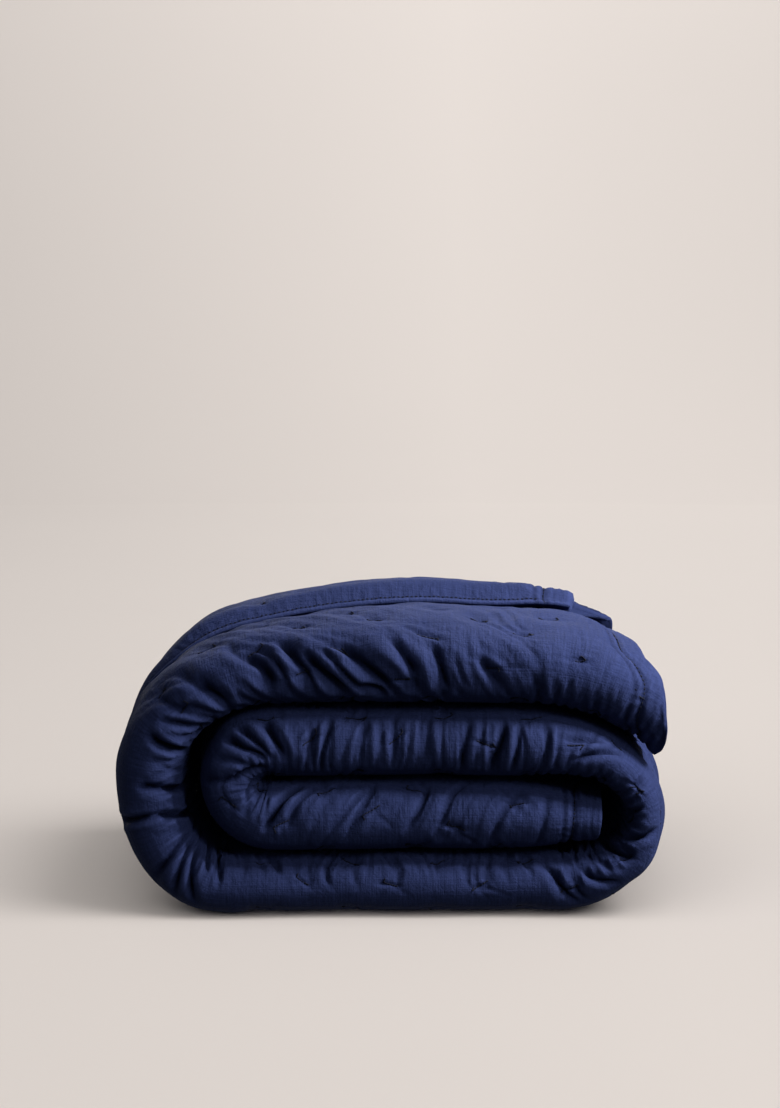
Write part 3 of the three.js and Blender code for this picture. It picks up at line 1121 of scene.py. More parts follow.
        base = self.base
        now_u = lengths(base[:-1], base[1:])
        plain = (self.along[1:] - self.along[:-1]) * (1.0 + 0.5 * (spare[1:] + spare[:-1]))
        rest_u = np.clip(plain, now_u * self.least_spare, now_u * self.most_spare)
        stretch_u = rest_u / now_u
        now_v = lengths(base[:, :-1], base[:, 1:])
        now_a = lengths(base[:-1, :-1], base[1:, 1:])
        now_b = lengths(base[1:, :-1], base[:-1, 1:])
        grow = 1.0 + 0.5 * (stretch_u[:, :-1] - 1.0)
        lean = slant[:-1, :-1]
        held = np.zeros(self.along.shape, dtype=bool)
        for row, column in self.tufts:
            held[max(row - 1, 0) : row + 2, column] = True
            dip[max(row - 1, 0) : row + 2, column] -= self.tack_pull
        skin = {
            "base": base,
            "normal": self.normal,
            "height": dip,
            "start": start,
            "rest_u": rest_u,
            "rest_v": now_v,
            "rest_a": now_a * (grow - lean),
            "rest_b": now_b * (grow + lean),
            "cap_out": cap_out,
            "cap_in": cap_in,
            "held": held,
        }
        self.points, lift = self.solver.settle(skin)
        relief = self._relief()
        room = np.linalg.norm(self.base - self.back, axis=-1) * self.deepest_share
        self.lift = np.clip(lift + relief, -room, np.maximum(cap_out, lift))
        self.points += self.normal * (self.lift - lift)[..., None]
        self.points[..., 2] = np.maximum(self.points[..., 2], FLOOR_CLEAR)

    def _relief(self) -> Array:
        """Heights of the creases, gathers, tuft puckers and hem stitching over the settled cloth, with the
        painted shade of their slits and seams.

        Returns:
            Heights in mm for every point.
        """
        none = np.zeros(self.along.shape)
        strays = [self._noise(seed, self.warp_length, self.warp_length, none) for seed in self.warp_seeds]
        along = self.along + self.warp * strays[0]
        across = self.across + self.warp * strays[1]
        total, slits = none.copy(), none.copy()
        first, last = along.min(axis=1), along.max(axis=1)
        for crease, gain in self._all_creases(along, across):
            margin = self.crease_margin * crease.width
            low, high = sorted((crease.from_along, crease.to_along))
            near = np.flatnonzero((last > low - margin) & (first < high + margin))
            if len(near):
                rows = np.s_[near[0] : near[-1] + 1]
                height, slit = crease.trough(along[rows], across[rows])
                total[rows] += gain * height
                slits[rows] += gain * slit
        # Painted shade in the fold layer: the deeper a crease's slit, the darker the cloth is painted there.
        self.fold = np.clip(-slits * self.full / self.painted_shade_depth, 0.0, 1.0)
        return total * self.full + self._hem_relief()

    def _all_creases(self, along: Array, across: Array) -> Iterator[tuple[Crease, float]]:
        """Go through the placed creases, the gathers' creases and the tufts' puckers with their rays.

        Args:
            along: Places along the roll.
            across: Places across the sheet.

        Returns:
            Each crease with its gain.
        """
        for crease in self.creases:
            yield crease, self.outer_gain if crease.from_along > self.path.at["left"] else self.crease_gain
        for gather in self.gathers:
            for crease in gather.creases():
                yield crease, self.gather_gain
        rng = np.random.default_rng(self.pucker_seed)
        for place, turn in zip(self.tufts, self.tuft_turns):
            at, off = along[place], across[place]
            run, rise = self.pucker_length * math.cos(turn), self.pucker_length * math.sin(turn)
            start, end = (at - run, off - rise), (at + run, off + rise)
            yield Crease(*start, *end, self.pucker_width, self.pucker_depth), 1.0
            for _ in range(self.pucker_rays):
                way = rng.uniform(0.0, 2.0 * math.pi)
                far = self.pucker_length * rng.uniform(*self.ray_reach)
                depth = self.pucker_depth * rng.uniform(*self.ray_depth)
                run, rise = far * math.cos(way), far * math.sin(way)
                start = (at + self.ray_from * run, off + self.ray_from * rise)
                yield Crease(*start, at + run, off + rise, self.ray_width, depth), 1.0

    def _hem_relief(self) -> Array:
        """Heights of the hems' ripples and seams; the seam grooves also get painted shade, as the folds do.

        Returns:
            Heights in mm for every point.
        """
        edge = np.minimum(self.hem, self.end_gap)
        way = np.where(self.hem < self.end_gap, self.along, self.across)
        total = self._ripples(self.hem_ripple, way, edge)
        total += self._ripples(self.end_pleat, self.end_gap, self.end_gap)
        second = bell(self.end_gap - self.stitch_line - self.second_seam, self.second_seam_width)
        seam = bell(self.end_gap - self.stitch_line, self.seam_width)
        seam = np.maximum(seam, self.second_seam_share * second)
        seam = np.maximum(seam, self.flap_seam_share * bell(self.hem - self.stitch_line, self.seam_width))
        # Painted shade along the seam grooves.
        self.fold = np.maximum(self.fold, self.seam_painted_shade * seam)
        # Painted shadow under the flap's hem.
        self.fold = np.maximum(self.fold, self.under_hem_shadow_strength * self.under_hem_shadow)
        return total - self.stitch_groove * seam

    def _ripples(self, ripple: Ripple, way: Array, edge: Array) -> Array:
        """Heights of a band of ripples.

        Args:
            ripple: Their sizes.
            way: Distances along which they follow one another.
            edge: Distances from the edge.

        Returns:
            Heights in mm for every point.
        """
        stray = self._noise(ripple.seed, ripple.stray_length, ripple.stray_length, np.zeros(way.shape))
        wave = np.sin(2.0 * np.pi * way / ripple.length + ripple.stray * stray)
        return ripple.size * wave * bell(edge - ripple.inside, ripple.width)

    def build(self) -> bpy.types.Object:
        """Make the closed sheet from its two faces.

        Returns:
            The quilt's object.
        """
        self.lay_out()
        self.place_tufts()
        self.pucker()
        rows = np.unique(np.append(np.arange(0, self.rows, self.back_row_step), self.rows - 1))
        count = self.base.shape[1]
        columns = np.unique(np.append(np.arange(0, count, self.back_column_step), count - 1))
        mesh = bmesh.new()
        # The fold layer holds the painted shade of the creases, seams and the line under the flap's hem, for
        # the cloth's colour.
        deep = mesh.verts.layers.float.new("fold")
        rimmed = self._rimmed()
        rimmed[..., 2] = np.maximum(rimmed[..., 2], FLOOR_CLEAR)
        outer = self._grid(mesh, rimmed)
        for vert, value in zip(outer.ravel(), self._wider(self.fold).ravel()):
            vert[deep] = value
        inner = self._grid(mesh, self.back[np.ix_(rows, columns)])
        behind = set(inner.ravel())
        bmesh.ops.reverse_faces(mesh, faces=[face for face in mesh.faces if face.verts[0] in behind])
        for pick in (np.s_[0, :], np.s_[-1, :], np.s_[:, 0], np.s_[:, -1]):
            edges = self._side(mesh, outer[pick]) + self._side(mesh, inner[pick])
            bmesh.ops.bridge_loops(mesh, edges=edges)
        mesh.normal_update()
        wide = np.stack([self._wider(self.along), self._wider(self.across)], axis=-1)
        thin = np.stack([self.along, self.across], axis=-1)[np.ix_(rows, columns)]
        self._write_grain(mesh, np.concatenate([wide.reshape(-1, 2), thin.reshape(-1, 2)]) * MM)
        return finish_piece(mesh, "quilt_cloth")

    def _wider(self, values: Array) -> Array:
        """Carry values of the outer face on over its rims."""
        rim = self.rim_steps
        return np.pad(values, ((rim, rim), (0, rim)), mode="reflect", reflect_type="odd")

    def _rimmed(self) -> Array:
        """Round the outer face over its free hem and both ends to the inner face.

        Returns:
            The outer face's points with the rims' points round them.
        """
        turns = np.pi * np.arange(1, self.rim_steps + 1) / (self.rim_steps + 1)

        def rim(edge: Array, before: Array, other: Array) -> list[Array]:
            """Go round from an edge to the inner face.

            Args:
                edge: Points of the outer face's edge.
                before: Points a little inside it.
                other: Points of the inner face's edge.

            Returns:
                The rim's rows of points.
            """
            middle = (edge + other) / 2.0
            half = edge - middle
            out = edge - before
            out *= (np.linalg.norm(half, axis=-1) / np.linalg.norm(out, axis=-1))[:, None]
            return [middle + half * math.cos(turn) + out * math.sin(turn) for turn in turns]

        points, back = self.points, self.back
        side = np.stack(rim(points[:, -1], points[:, -3], back[:, -1]), axis=1)
        points = np.concatenate([points, side], axis=1)
        back = np.concatenate([back, np.repeat(back[:, -1:], self.rim_steps, axis=1)], axis=1)
        first = np.stack(rim(points[0], points[2], back[0])[::-1])
        last = np.stack(rim(points[-1], points[-3], back[-1]))
        return np.concatenate([first, points, last])

    def at(self, row: float, column: float) -> Array:
        """Read the settled cloth between the places of its grid.

        Args:
            row: Row of the grid.
            column: Column of the grid.

        Returns:
            The point in mm.
        """
        row = min(max(row, 0.0), self.rows - self.read_inset)
        column = min(max(column, 0.0), self.points.shape[1] - self.read_inset)
        r, c = int(row), int(column)
        near = mix(self.points[r, c], self.points[r, c + 1], column - c)
        return mix(near, mix(self.points[r + 1, c], self.points[r + 1, c + 1], column - c), row - r)

    @staticmethod
    def _grid(mesh: bmesh.types.BMesh, points: Array) -> Array:
        """Add a grid to the mesh and move it onto points.

        Args:
            mesh: Mesh that takes the grid.
            points: Rows of points in mm.

        Returns:
            The grid's vertices as an array of rows.
        """
        rows, columns = points.shape[:2]
        made = bmesh.ops.create_grid(mesh, x_segments=columns - 1, y_segments=rows - 1, size=0.5)["verts"]
        for vert, place in zip(made, points.reshape(-1, 3) * MM):
            vert.co = place
        return np.array(made, dtype=object).reshape(rows, columns)

    @staticmethod
    def _side(mesh: bmesh.types.BMesh, verts: Array) -> list[bmesh.types.BMEdge]:
        """Edges that join a run of vertices in order."""
        return [mesh.edges.get((a, b)) for a, b in zip(verts[:-1], verts[1:])]

    @staticmethod
    def _write_grain(mesh: bmesh.types.BMesh, grain: Array) -> None:
        """Write the cloth's own coordinates, in metres of cloth, as its UV map.

        Args:
            mesh: The quilt's mesh.
            grain: One pair for each vertex.
        """
        layer = mesh.loops.layers.uv.new("grain")
        mesh.verts.index_update()
        for face in mesh.faces:
            for loop in face.loops:
                loop[layer].uv = grain[loop.vert.index]


def finish_piece(mesh: bmesh.types.BMesh, name: str) -> bpy.types.Object:
    """Turn a bmesh into a smooth-shaded object in the scene.

    Args:
        mesh: Finished bmesh, freed here.
        name: Name of the object.

    Returns:
        The new object.
    """
    for face in mesh.faces:
        face.smooth = True
    data = bpy.data.meshes.new(name)
    mesh.to_mesh(data)
    mesh.free()
    piece = bpy.data.objects.new(name, data)
    bpy.context.scene.collection.objects.link(piece)
    return piece


@dataclass
class SewnThread:
    """The sewing that shows: bar tacks at the tufts and stitch lines along the hems, in mm."""

    tack_length: float = 21.0
    tack_range: tuple[float, float] = (0.75, 1.15)
    tack_points: int = 7
    tack_overlap: float = 1.3
    tack_hook: float = 6.0
    hook_range: tuple[float, float] = (0.6, 1.2)
    hook_back: float = 0.5
    hook_steps: tuple[float, ...] = (0.4, 0.75, 1.0)
    stitch_length: float = 3.8
    stitch_pitch: float = 5.4
    thread_radius: float = 0.8
    proud: float = 0.7
    bar_places: tuple[float, ...] = (8.0, 108.0)
    bar_reach: tuple[float, float] = (-1.0, 11.0)
    bar_row: int = -8
    seed: int = 23

    def build_tacks(self, sheet: QuiltSheet) -> bpy.types.Object:
        """Sew a bar tack at every tuft.

        Args:
            sheet: The settled quilt.

        Returns:
            All tacks as one object.
        """
        rng = np.random.default_rng(self.seed)
        mesh = bmesh.new()
        for (row, column), turn in zip(sheet.tufts, sheet.tuft_turns):
            row_mm = np.linalg.norm(sheet.points[row + 1, column] - sheet.points[row - 1, column]) / 2.0
            column_mm = np.linalg.norm(sheet.points[row, column + 1] - sheet.points[row, column - 1]) / 2.0
            length = self.tack_length * rng.uniform(*self.tack_range)
            hook = self.tack_hook * rng.uniform(*self.hook_range) * rng.choice((-1.0, 1.0))
            places = np.linspace(-0.5, 0.5, self.tack_points) * length
            run = [(s * math.cos(turn), s * math.sin(turn)) for s in places]
            end = run[-1]
            run += [(end[0] - self.hook_back * abs(hook) * t, end[1] + hook * t) for t in self.hook_steps]
            up = sheet.normal[row, column]
            line = [sheet.at(row + u / row_mm, column - v / column_mm) + up * self.proud for u, v in run]
            for a, b in zip(line[:-1], line[1:]):
                self._strand(mesh, (a + b) / 2.0, b - a, up, self.tack_overlap * np.linalg.norm(b - a))
        return finish_piece(mesh, "tuft_tacks")

    def build_hem_lines(self, sheet: QuiltSheet) -> bpy.types.Object:
        """Sew the stitch lines along both ends and along the free hem.

        Args:
            sheet: The settled quilt.

        Returns:
            All stitches as one object.
        """
        mesh = bmesh.new()
        kind = sheet.kind
        shown = np.flatnonzero(kind >= Stretch.CLIMB.value)
        free = int(np.flatnonzero(kind == Stretch.HEM.value)[0])
        for last in (False, True):
            rows = [sheet.end_row(column, sheet.stitch_line, last) for column in shown]
            points = np.array([sheet.at(row, column) for row, column in zip(rows, shown)])
            self._line(mesh, points, sheet.normal[np.rint(rows).astype(int), shown])
        for across in self.bar_places:
            column = int(np.argmin(np.abs(sheet.across[-1] - across)))
            up = sheet.normal[self.bar_row, column]
            for aside in (-1.0, 1.0):
                rows = [sheet.end_row(column, sheet.stitch_line + reach, True) for reach in self.bar_reach]
                a, b = (sheet.at(row, column + aside) + up * self.proud for row in rows)
                self._strand(mesh, (a + b) / 2.0, b - a, up, np.linalg.norm(b - a))
        start, end = (round(sheet.end_row(free, sheet.stitch_line, last)) for last in (False, True))
        self._line(mesh, sheet.points[start:end, free], sheet.normal[start:end, free])
        return finish_piece(mesh, "hem_stitches")

    def _line(self, mesh: bmesh.types.BMesh, points: Array, normals: Array) -> None:
        """Add stitches along a run of points on the cloth.

        Args:
            mesh: Mesh that takes the stitches.
            points: The run.
            normals: Outward directions at its points.
        """
        run = np.concatenate([[0.0], np.cumsum(np.linalg.norm(np.diff(points, axis=0), axis=1))])

        def read(values: Array, place: float) -> Array:
            """Values at a distance along the run."""
            return np.array([np.interp(place, run, values[:, axis]) for axis in range(3)])

        for start in np.arange(self.stitch_pitch, run[-1] - self.stitch_pitch, self.stitch_pitch):
            a, b = read(points, start), read(points, start + self.stitch_length)
            up = read(normals, start)
            self._strand(mesh, (a + b) / 2.0 + up * self.proud, b - a, up, self.stitch_length)

    def _strand(self, mesh: bmesh.types.BMesh, middle: Array, line: Array, up: Array, length: float) -> None:
        """Add one strand of thread as a slim pebble.

        Args:
            mesh: Mesh that takes the strand.
            middle: Its middle.
            line: Its direction.
            up: Outward direction.
            length: Its length.
        """
        line = Vector(line).normalized()
        side = Vector(up).cross(line).normalized()
        above = line.cross(side)
        turn = Matrix((line, side, above)).transposed().to_4x4()
        size = Matrix.Diagonal((length / 2.0 * MM, self.thread_radius * MM, self.thread_radius * MM, 1.0))
        move = Matrix.Translation(Vector(middle) * MM)
        bmesh.ops.create_icosphere(mesh, subdivisions=1, radius=1.0, matrix=move @ turn @ size)


class Graph:
    """A material's node tree, built one node at a time."""

    def __init__(self, name: str) -> None:
        """Start an empty material.

        Args:
            name: Name of the material.
        """
        self.material = bpy.data.materials.new(name)
        self.material.use_nodes = True
        self.tree = self.material.node_tree
        self.tree.nodes.clear()

    def node(self, kind: str, settings: dict | None = None, inputs: dict | None = None) -> bpy.types.Node:
        """Add a node.

        Args:
            kind: Node type.
            settings: Node properties, set before its inputs.
            inputs: Input values or values of other nodes, by name or index.

        Returns:
            The new node.
        """
        made = self.tree.nodes.new(kind)
        for key, value in (settings or {}).items():
            setattr(made, key, value)
        for key, value in (inputs or {}).items():
            self.feed(made.inputs[key], value)
        return made

    def feed(self, socket: bpy.types.NodeSocket, value: "Sock | float | tuple") -> None:
        """Give an input its value.

        Args:
            socket: The input.
            value: A plain value or another node's output.
        """
        if isinstance(value, Sock):
            self.tree.links.new(value.socket, socket)
        else:
            socket.default_value = value

    def sock(
        self, kind: str, output: str | int, settings: dict | None = None, inputs: dict | None = None
    ) -> "Sock":
        """Add a node and return one of its outputs."""
        return Sock(self, self.node(kind, settings, inputs).outputs[output])

    def maths(self, operation: str, *values: "Sock | float") -> "Sock":
        """Add a maths node."""
        return self.sock("ShaderNodeMath", 0, {"operation": operation}, dict(enumerate(values)))

    def blend(
        self, factor: "Sock | float", a: "Sock | tuple", b: "Sock | tuple", clamp: bool = True
    ) -> "Sock":
        """Mix two colours."""
        settings = {"data_type": "RGBA", "clamp_factor": clamp}
        return self.sock("ShaderNodeMix", 2, settings, {0: factor, 6: a, 7: b})

    def noise(self, place: "Sock", scale: float, detail: float) -> "Sock":
        """Add a noise pattern."""
        return self.sock("ShaderNodeTexNoise", 0, None, {"Vector": place, "Scale": scale, "Detail": detail})

    def split(self, place: "Sock") -> list["Sock"]:
        """Take a place apart into x, y and z."""
        return [Sock(self, output) for output in self.node("ShaderNodeSeparateXYZ", None, {0: place}).outputs]

    def finish(self, surface: dict) -> bpy.types.Material:
        """Close the tree with one surface.

        Args:
            surface: The surface's input values, by name.

        Returns:
            The finished material.
        """
        shader = self.sock("ShaderNodeBsdfPrincipled", 0, None, surface)
        self.node("ShaderNodeOutputMaterial", None, {0: shader})
        return self.material


class Sock:
    """A node's output that can be used in sums."""

    def __init__(self, graph: Graph, socket: bpy.types.NodeSocket) -> None:
        """Keep the socket and the graph it is in."""
        self.graph = graph
        self.socket = socket

    def __add__(self, other: "Sock | float") -> "Sock":
        """Sum."""
        return self.graph.maths("ADD", self, other)

    __radd__ = __add__

    def __sub__(self, other: "Sock | float") -> "Sock":
        """Difference."""
        return self.graph.maths("SUBTRACT", self, other)

    def __rsub__(self, other: float) -> "Sock":
        """Difference from a plain number."""
        return self.graph.maths("SUBTRACT", other, self)

    def __mul__(self, other: "Sock | float") -> "Sock":
        """Product."""
        return self.graph.maths("MULTIPLY", self, other)

    __rmul__ = __mul__

    def __truediv__(self, other: "Sock | float") -> "Sock":
        """Quotient."""
        return self.graph.maths("DIVIDE", self, other)

    def sine(self) -> "Sock":
        """Sine."""
        return self.graph.maths("SINE", self)

    def root(self) -> "Sock":
        """Square root."""
        return self.graph.maths("SQRT", self)

    def size(self) -> "Sock":
        """Size without its sign."""
        return self.graph.maths("ABSOLUTE", self)

    def most(self, other: "Sock | float") -> "Sock":
        """The larger of two."""
        return self.graph.maths("MAXIMUM", self, other)

    def least(self, other: "Sock | float") -> "Sock":
        """The smaller of two."""
        return self.graph.maths("MINIMUM", self, other)

    def kept(self, low: float, high: float) -> "Sock":
        """Spread the span from low to high over 0 to 1, smoothly."""
        settings = {"interpolation_type": "SMOOTHSTEP"}
        return self.graph.sock("ShaderNodeMapRange", 0, settings, {0: self, 1: low, 2: high})


@dataclass(frozen=True)
class NavyCloth:
    """The quilt's woven cloth: a soft navy with slubs, a fine weave, a dry sheen, painted shade in its folds
    and a painted highlight on its ridges.
    """

    deep: tuple[float, float, float, float] = (0.0118, 0.0171, 0.052, 1.0)
    plain: tuple[float, float, float, float] = (0.0200, 0.0280, 0.083, 1.0)
    ridge_highlight: tuple[float, float, float, float] = (0.036, 0.050, 0.140, 1.0)
    painted_shade_colour: tuple[float, float, float, float] = (0.0020, 0.0030, 0.012, 1.0)
    painted_shade_strength: float = 0.85
    thread_mm: float = 1.15
    wobble: float = 2.4
    wobble_scale: float = 120.0
    slub_long: float = 26.0
    slub_thin: float = 620.0
    slub_tone: float = 1.3
    patch_scale: float = 9.0
    patch_tone: float = 0.5
    tone_span: tuple[float, float] = (0.05, 0.95)
    ridge_highlight_span: tuple[float, float] = (0.505, 0.56)
    ridge_highlight_share: float = 0.35
    crumple_scale: tuple[float, float] = (75.0, 45.0)
    small_crumple_scale: tuple[float, float] = (160.0, 120.0)
    small_crumple_share: float = 0.5
    rib_scale: tuple[float, float] = (190.0, 13.0)
    crumple_mm: float = 3.2
    rib_mm: float = 1.0
    slub_mm: float = 0.5
    weave_mm: float = 0.1
    roughness: float = 0.66
    slub_rough: float = 0.18
    specular: float = 0.05
    specular_tint: tuple[float, float, float, float] = (0.20, 0.33, 0.9, 1.0)
    sheen: float = 0.08
    sheen_rough: float = 0.42
    sheen_tint: tuple[float, float, float, float] = (0.25, 0.36, 1.0, 1.0)

    def material(self) -> bpy.types.Material:
        """Build the material.

        Returns:
            The finished material.
        """
        graph = Graph("navy_cloth")
        grain = graph.sock("ShaderNodeUVMap", 0, {"uv_map": "grain"})
        along, across, _ = graph.split(grain)
        turns = 2.0 * math.pi / (self.thread_mm * MM)

        def streak(scale_u: float, scale_v: float, detail: float) -> Sock:
            """Noise stretched along the cloth."""
            place = graph.sock("ShaderNodeCombineXYZ", 0, None, {0: along * scale_u, 1: across * scale_v})
            return graph.noise(place, scale=1.0, detail=detail)

        def ridges(scale: tuple[float, float], detail: float) -> Sock:
            """Creases of a crumpled cloth."""
            return (streak(*scale, detail) - 0.5).size()

        warp_slub = streak(self.slub_long, self.slub_thin, detail=3.0)
        weft_slub = streak(self.slub_thin, self.slub_long, detail=3.0)
        patch = streak(self.patch_scale, self.patch_scale, detail=2.0)
        wobble = streak(self.wobble_scale, self.wobble_scale, detail=1.0) * self.wobble
        warp = (along * turns + wobble).sine()
        weft = (across * turns + wobble).sine()
        weave = warp.most(weft)
        slub = warp_slub + weft_slub - 1.0
        tone = (0.5 + slub * self.slub_tone + (patch - 0.5) * self.patch_tone).kept(*self.tone_span)
        colour = graph.blend(tone, self.deep, self.plain)
        # Painted highlight: the most convex ridges are lightened towards a brighter navy.
        pointed = graph.sock("ShaderNodeNewGeometry", "Pointiness")
        colour = graph.blend(pointed.kept(*self.ridge_highlight_span) * self.ridge_highlight_share, colour, self.ridge_highlight)
        # Painted shade: the fold layer darkens the creases, gathers, tuft puckers, seam grooves and a line
        # under the flap's hem towards a near-black navy.
        fold = graph.sock("ShaderNodeAttribute", "Fac", {"attribute_name": "fold"})
        colour = graph.blend(fold * self.painted_shade_strength, colour, self.painted_shade_colour)
        crumple = ridges(self.crumple_scale, detail=4.0)
        crumple = crumple + ridges(self.small_crumple_scale, detail=3.0) * self.small_crumple_share
        rib = streak(*self.rib_scale, detail=3.0)
        height = crumple * self.crumple_mm + rib * self.rib_mm + slub * self.slub_mm + weave * self.weave_mm
        bump = {"Strength": 1.0, "Distance": MM, "Height": height}
        surface = {
            "Base Color": colour,
            "Roughness": self.roughness + slub * self.slub_rough,
            "Normal": graph.sock("ShaderNodeBump", 0, None, bump),
            "Specular IOR Level": self.specular,
            "Specular Tint": self.specular_tint,
            "Sheen Weight": self.sheen,
            "Sheen Roughness": self.sheen_rough,
            "Sheen Tint": self.sheen_tint,
        }
        return graph.finish(surface)


@dataclass(frozen=True)
class NavyThread:
    """The sewing thread: a darker navy with a slight gloss and its twist."""

    colour: tuple[float, float, float, float] = (0.0015, 0.0020, 0.006, 1.0)
    light: tuple[float, float, float, float] = (0.004, 0.006, 0.020, 1.0)
    roughness: float = 0.55
    fuzz_rough: float = 0.2
    fuzz_scale: float = 900.0
    twist_mm: float = 0.8
    ply_mm: float = 0.3
    ply_strength: float = 0.4
    specular: float = 0.15

    def material(self) -> bpy.types.Material:
        """Build the material.

        Returns:
            The finished material.
        """
        graph = Graph("navy_thread")
        place = graph.sock("ShaderNodeTexCoord", "Object")
        x, _, z = graph.split(place)
        ply = ((x + z) * (2.0 * math.pi / (self.twist_mm * MM))).sine()
        fuzz = graph.noise(place, self.fuzz_scale, detail=2.0)
        bump = {"Strength": self.ply_strength, "Distance": self.ply_mm * MM, "Height": ply}
        surface = {
            "Base Color": graph.blend(fuzz, self.colour, self.light),
            "Roughness": self.roughness + fuzz * self.fuzz_rough,
            "Normal": graph.sock("ShaderNodeBump", 0, None, bump),
            "Specular IOR Level": self.specular,
        }
        return graph.finish(surface)


@dataclass(frozen=True)
class PaleStage:
    """The studio's pale paper floor, with painted light and shade so that its sweep looks evenly lit, and
    painted shade that makes it a little darker to the left.
    """

    sweep_radius: float
    colour: tuple[float, float, float, float] = (0.73, 0.68, 0.645, 1.0)
    black: tuple[float, float, float, float] = (0.0, 0.0, 0.0, 1.0)
    mottle: float = 1.02
    mottle_scale: float = 0.7
    roughness: float = 0.9
    specular: float = 0.1
    wall_share: float = 0.76
    left_shade_middle: float = 0.965
    left_shade_slope: float = 0.115

    def material(self) -> bpy.types.Material:
        """Build the material.

        Returns:
            The finished material.
        """
        graph = Graph("pale_paper")
        place = graph.sock("ShaderNodeTexCoord", "Object")
        lighter = tuple(min(1.0, part * self.mottle) for part in self.colour)
        colour = graph.blend(graph.noise(place, self.mottle_scale, detail=2.0), self.colour, lighter)
        colour = graph.blend(self._tone(graph, place), self.black, colour, clamp=False)
        surface = {"Base Color": colour, "Roughness": self.roughness, "Specular IOR Level": self.specular}
        return graph.finish(surface)

    def _tone(self, graph: Graph, place: Sock) -> Sock:
        """Work out how much of the paper's colour shows, as painted light and shade: less where the sweep
        leans into the light, more on the upright wall, and less towards the left.

        Args:
            graph: The paper's node tree.
            place: Place on the paper, in metres.

        Returns:
            The share of the colour.
        """
        x, _, z = graph.split(place)
        level = (1.0 - z / self.sweep_radius).most(0.0)
        upright = (1.0 - level * level).most(0.0).root()
        # Painted shade: the paper darkens towards the left.
        across = (x * self.left_shade_slope + self.left_shade_middle).least(1.0)
        return across / (level + upright * self.wall_share)


@dataclass(frozen=True)
class Sun:
    """A soft light from afar: where it comes from, its width in degrees and its watts per square metre."""

    name: str
    place: tuple[float, float, float]
    spread: float
    strength: float


@dataclass(frozen=True)
class SoftBox:
    """A round soft box near the quilt: where it hangs, the point it faces, its diameter and its watts."""

    name: str
    place: tuple[float, float, float]
    aim: tuple[float, float, float]
    size: float
    strength: float


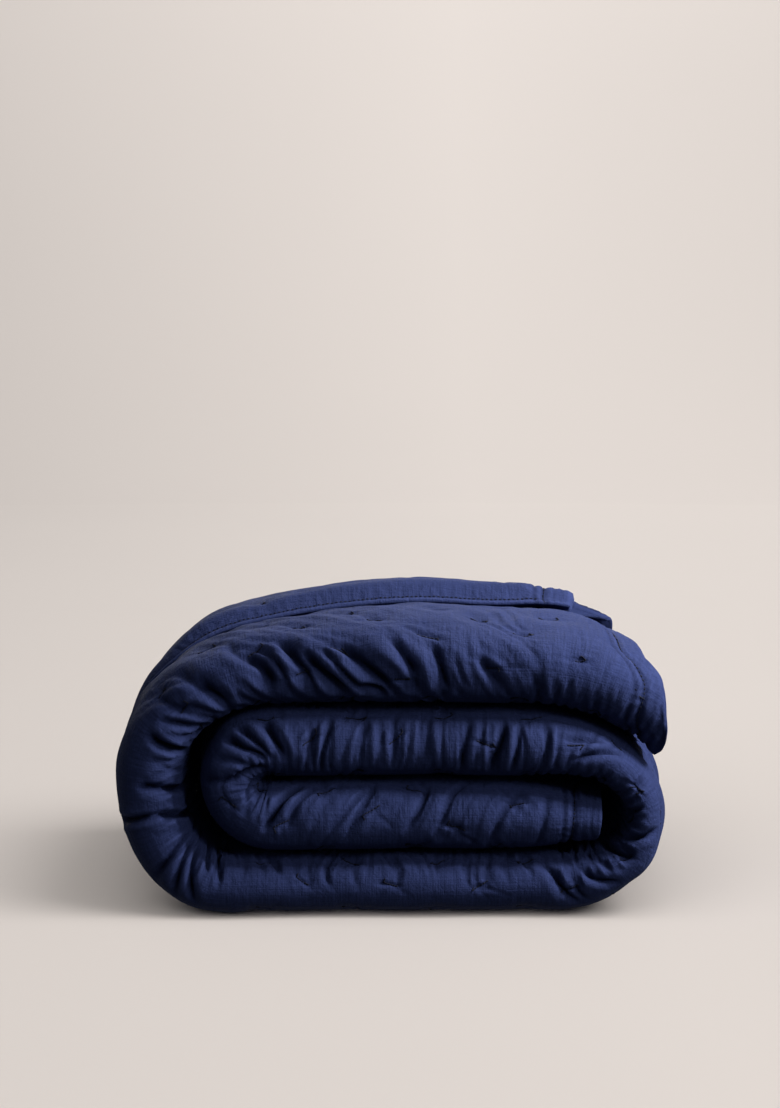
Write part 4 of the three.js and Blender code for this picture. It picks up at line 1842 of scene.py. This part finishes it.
@dataclass
class Studio:
    """Pale sweep all round, soft light and the camera, in metres."""

    floor_radius: float = 7.0
    sweep_radius: float = 2.5
    sweep_steps: int = 40
    sweep_sides: int = 64
    weld: float = 1e-5
    wall_height: float = 2.6
    camera_place: tuple[float, float, float] = (0.0, -3.4, 0.66)
    camera_pitch: float = 4.647
    lens: float = 93.0
    sensor: float = 36.0
    sight: float = 60.0
    air_colour: tuple[float, float, float, float] = (1.0, 0.98, 0.95, 1.0)
    air_strength: float = 0.12
    lamp_colour: tuple[float, float, float] = (1.0, 0.98, 0.97)
    floor_suns: tuple[Sun, ...] = (
        Sun("key", (0.95, -0.4, 1.0), 45.0, 1.75),
        Sun("overhead", (0.1, -0.8, 1.0), 100.0, 1.81),
        Sun("wall", (-0.25, -1.0, 0.42), 45.0, 0.93),
    )
    quilt_suns: tuple[Sun, ...] = (
        Sun("front_right", (0.75, -1.0, 0.65), 18.0, 1.1),
        Sun("soft_top", (0.1, 0.0, 1.0), 100.0, 0.3),
        Sun("back", (-0.2, 1.0, 0.3), 40.0, 0.55),
        Sun("low_right", (1.0, -0.45, 0.12), 30.0, 0.4),
    )
    quilt_boxes: tuple[SoftBox, ...] = (
        SoftBox("near_right", (0.75, -0.45, 0.75), (0.05, -0.15, 0.2), 0.3, 17.0),
        SoftBox("near_top", (0.35, 0.1, 1.0), (0.0, -0.1, 0.3), 0.3, 6.0),
    )

    def build(self) -> bpy.types.Object:
        """Make the floor with its sweep, the lights, the world and the camera.

        Returns:
            The floor.
        """
        floor = self._floor()
        self._camera()
        self._world()
        self.floor_lamps = [self._sun(sun) for sun in self.floor_suns]
        self.quilt_lamps = [self._sun(sun) for sun in self.quilt_suns]
        self.quilt_lamps += [self._soft_box(box) for box in self.quilt_boxes]
        return floor

    @staticmethod
    def share_light(name: str, lamps: list[bpy.types.Object], lit: list[bpy.types.Object]) -> None:
        """Keep some lamps to some pieces, so that the floor stays even under a quilt lit from near by.

        Args:
            name: Name of the group that is lit.
            lamps: The lamps.
            lit: What they fall on.
        """
        group = bpy.data.collections.new(name)
        for piece in lit:
            group.objects.link(piece)
        for lamp in lamps:
            lamp.light_linking.receiver_collection = group

    def _floor(self) -> bpy.types.Object:
        """Spin a profile of flat floor, sweep and wall round the middle.

        Returns:
            The floor.
        """
        mesh = bmesh.new()
        profile = [(0.0, 0.0), (self.floor_radius, 0.0)]
        for step in range(1, self.sweep_steps + 1):
            angle = math.pi / 2.0 * step / self.sweep_steps
            out = self.floor_radius + self.sweep_radius * math.sin(angle)
            profile.append((out, self.sweep_radius * (1.0 - math.cos(angle))))
        profile.append((self.floor_radius + self.sweep_radius, self.wall_height))
        verts = [mesh.verts.new((out, 0.0, high)) for out, high in profile]
        edges = [mesh.edges.new(pair) for pair in zip(verts[:-1], verts[1:])]
        bmesh.ops.spin(
            mesh,
            geom=verts + edges,
            cent=(0, 0, 0),
            axis=(0, 0, 1),
            angle=2.0 * math.pi,
            steps=self.sweep_sides,
            use_merge=True,
        )
        bmesh.ops.remove_doubles(mesh, verts=mesh.verts, dist=self.weld)
        bmesh.ops.recalc_face_normals(mesh, faces=mesh.faces)
        floor = finish_piece(mesh, "stage_floor")
        floor.data.materials.append(PaleStage(self.sweep_radius).material())
        floor.visible_diffuse = False
        floor.visible_glossy = False
        return floor

    def _camera(self) -> None:
        """Put the camera at the photograph's viewing angle."""
        data = bpy.data.cameras.new("camera")
        data.lens = self.lens
        data.sensor_width = self.sensor
        data.clip_end = self.sight
        camera = bpy.data.objects.new("camera", data)
        camera.location = self.camera_place
        camera.rotation_euler = (math.radians(90.0 - self.camera_pitch), 0.0, 0.0)
        bpy.context.scene.collection.objects.link(camera)
        bpy.context.scene.camera = camera

    def _world(self) -> None:
        """Light the studio evenly from all round."""
        world = bpy.data.worlds.new("studio_air")
        world.use_nodes = True
        sky = world.node_tree.nodes["Background"]
        sky.inputs[0].default_value = self.air_colour
        sky.inputs[1].default_value = self.air_strength
        bpy.context.scene.world = world
        bpy.context.scene.view_settings.view_transform = "Standard"

    def _sun(self, sun: Sun) -> bpy.types.Object:
        """Add a soft light that reaches everything evenly.

        Args:
            sun: Its place and strength.

        Returns:
            The lamp.
        """
        data = bpy.data.lights.new(sun.name, "SUN")
        data.angle = math.radians(sun.spread)
        return self._hang(data, sun.place, (0.0, 0.0, 0.0), sun.strength)

    def _soft_box(self, box: SoftBox) -> bpy.types.Object:
        """Add a round soft box near the quilt.

        Args:
            box: Its place, size and strength.

        Returns:
            The lamp.
        """
        data = bpy.data.lights.new(box.name, "AREA")
        data.shape = "DISK"
        data.size = box.size
        return self._hang(data, box.place, box.aim, box.strength)

    def _hang(self, data: bpy.types.Light, place: tuple, aim: tuple, strength: float) -> bpy.types.Object:
        """Put a lamp in its place, out of the camera's sight.

        Args:
            data: The light.
            place: Where it hangs.
            aim: Point it faces.
            strength: Its strength.

        Returns:
            The lamp.
        """
        data.energy = strength
        data.color = self.lamp_colour
        lamp = bpy.data.objects.new(data.name, data)
        lamp.location = place
        lamp.rotation_euler = (Vector(aim) - Vector(place)).to_track_quat("-Z", "Y").to_euler()
        lamp.visible_camera = False
        bpy.context.scene.collection.objects.link(lamp)
        return lamp


def main() -> None:
    logging.basicConfig(level=logging.INFO, format="%(name)s: %(message)s")
    studio = Studio()
    floor = studio.build()
    sheet = QuiltSheet()
    quilt = sheet.build()
    quilt.data.materials.append(NavyCloth().material())
    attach(quilt, "root")
    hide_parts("quilt")
    LOG.info("%s: %d faces, %d tufts", quilt.name, len(quilt.data.polygons), len(sheet.tufts))
    sewing = SewnThread()
    thread = NavyThread().material()
    pieces = [sewing.build_tacks(sheet), sewing.build_hem_lines(sheet)]
    for piece in pieces:
        piece.data.materials.append(thread)
        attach(piece, "root")
        LOG.info("%s: %d faces", piece.name, len(piece.data.polygons))
    studio.share_light("lit_floor", studio.floor_lamps, [floor])
    studio.share_light("lit_quilt", studio.quilt_lamps, [quilt, *pieces])


if __name__ == "__main__":
    main()
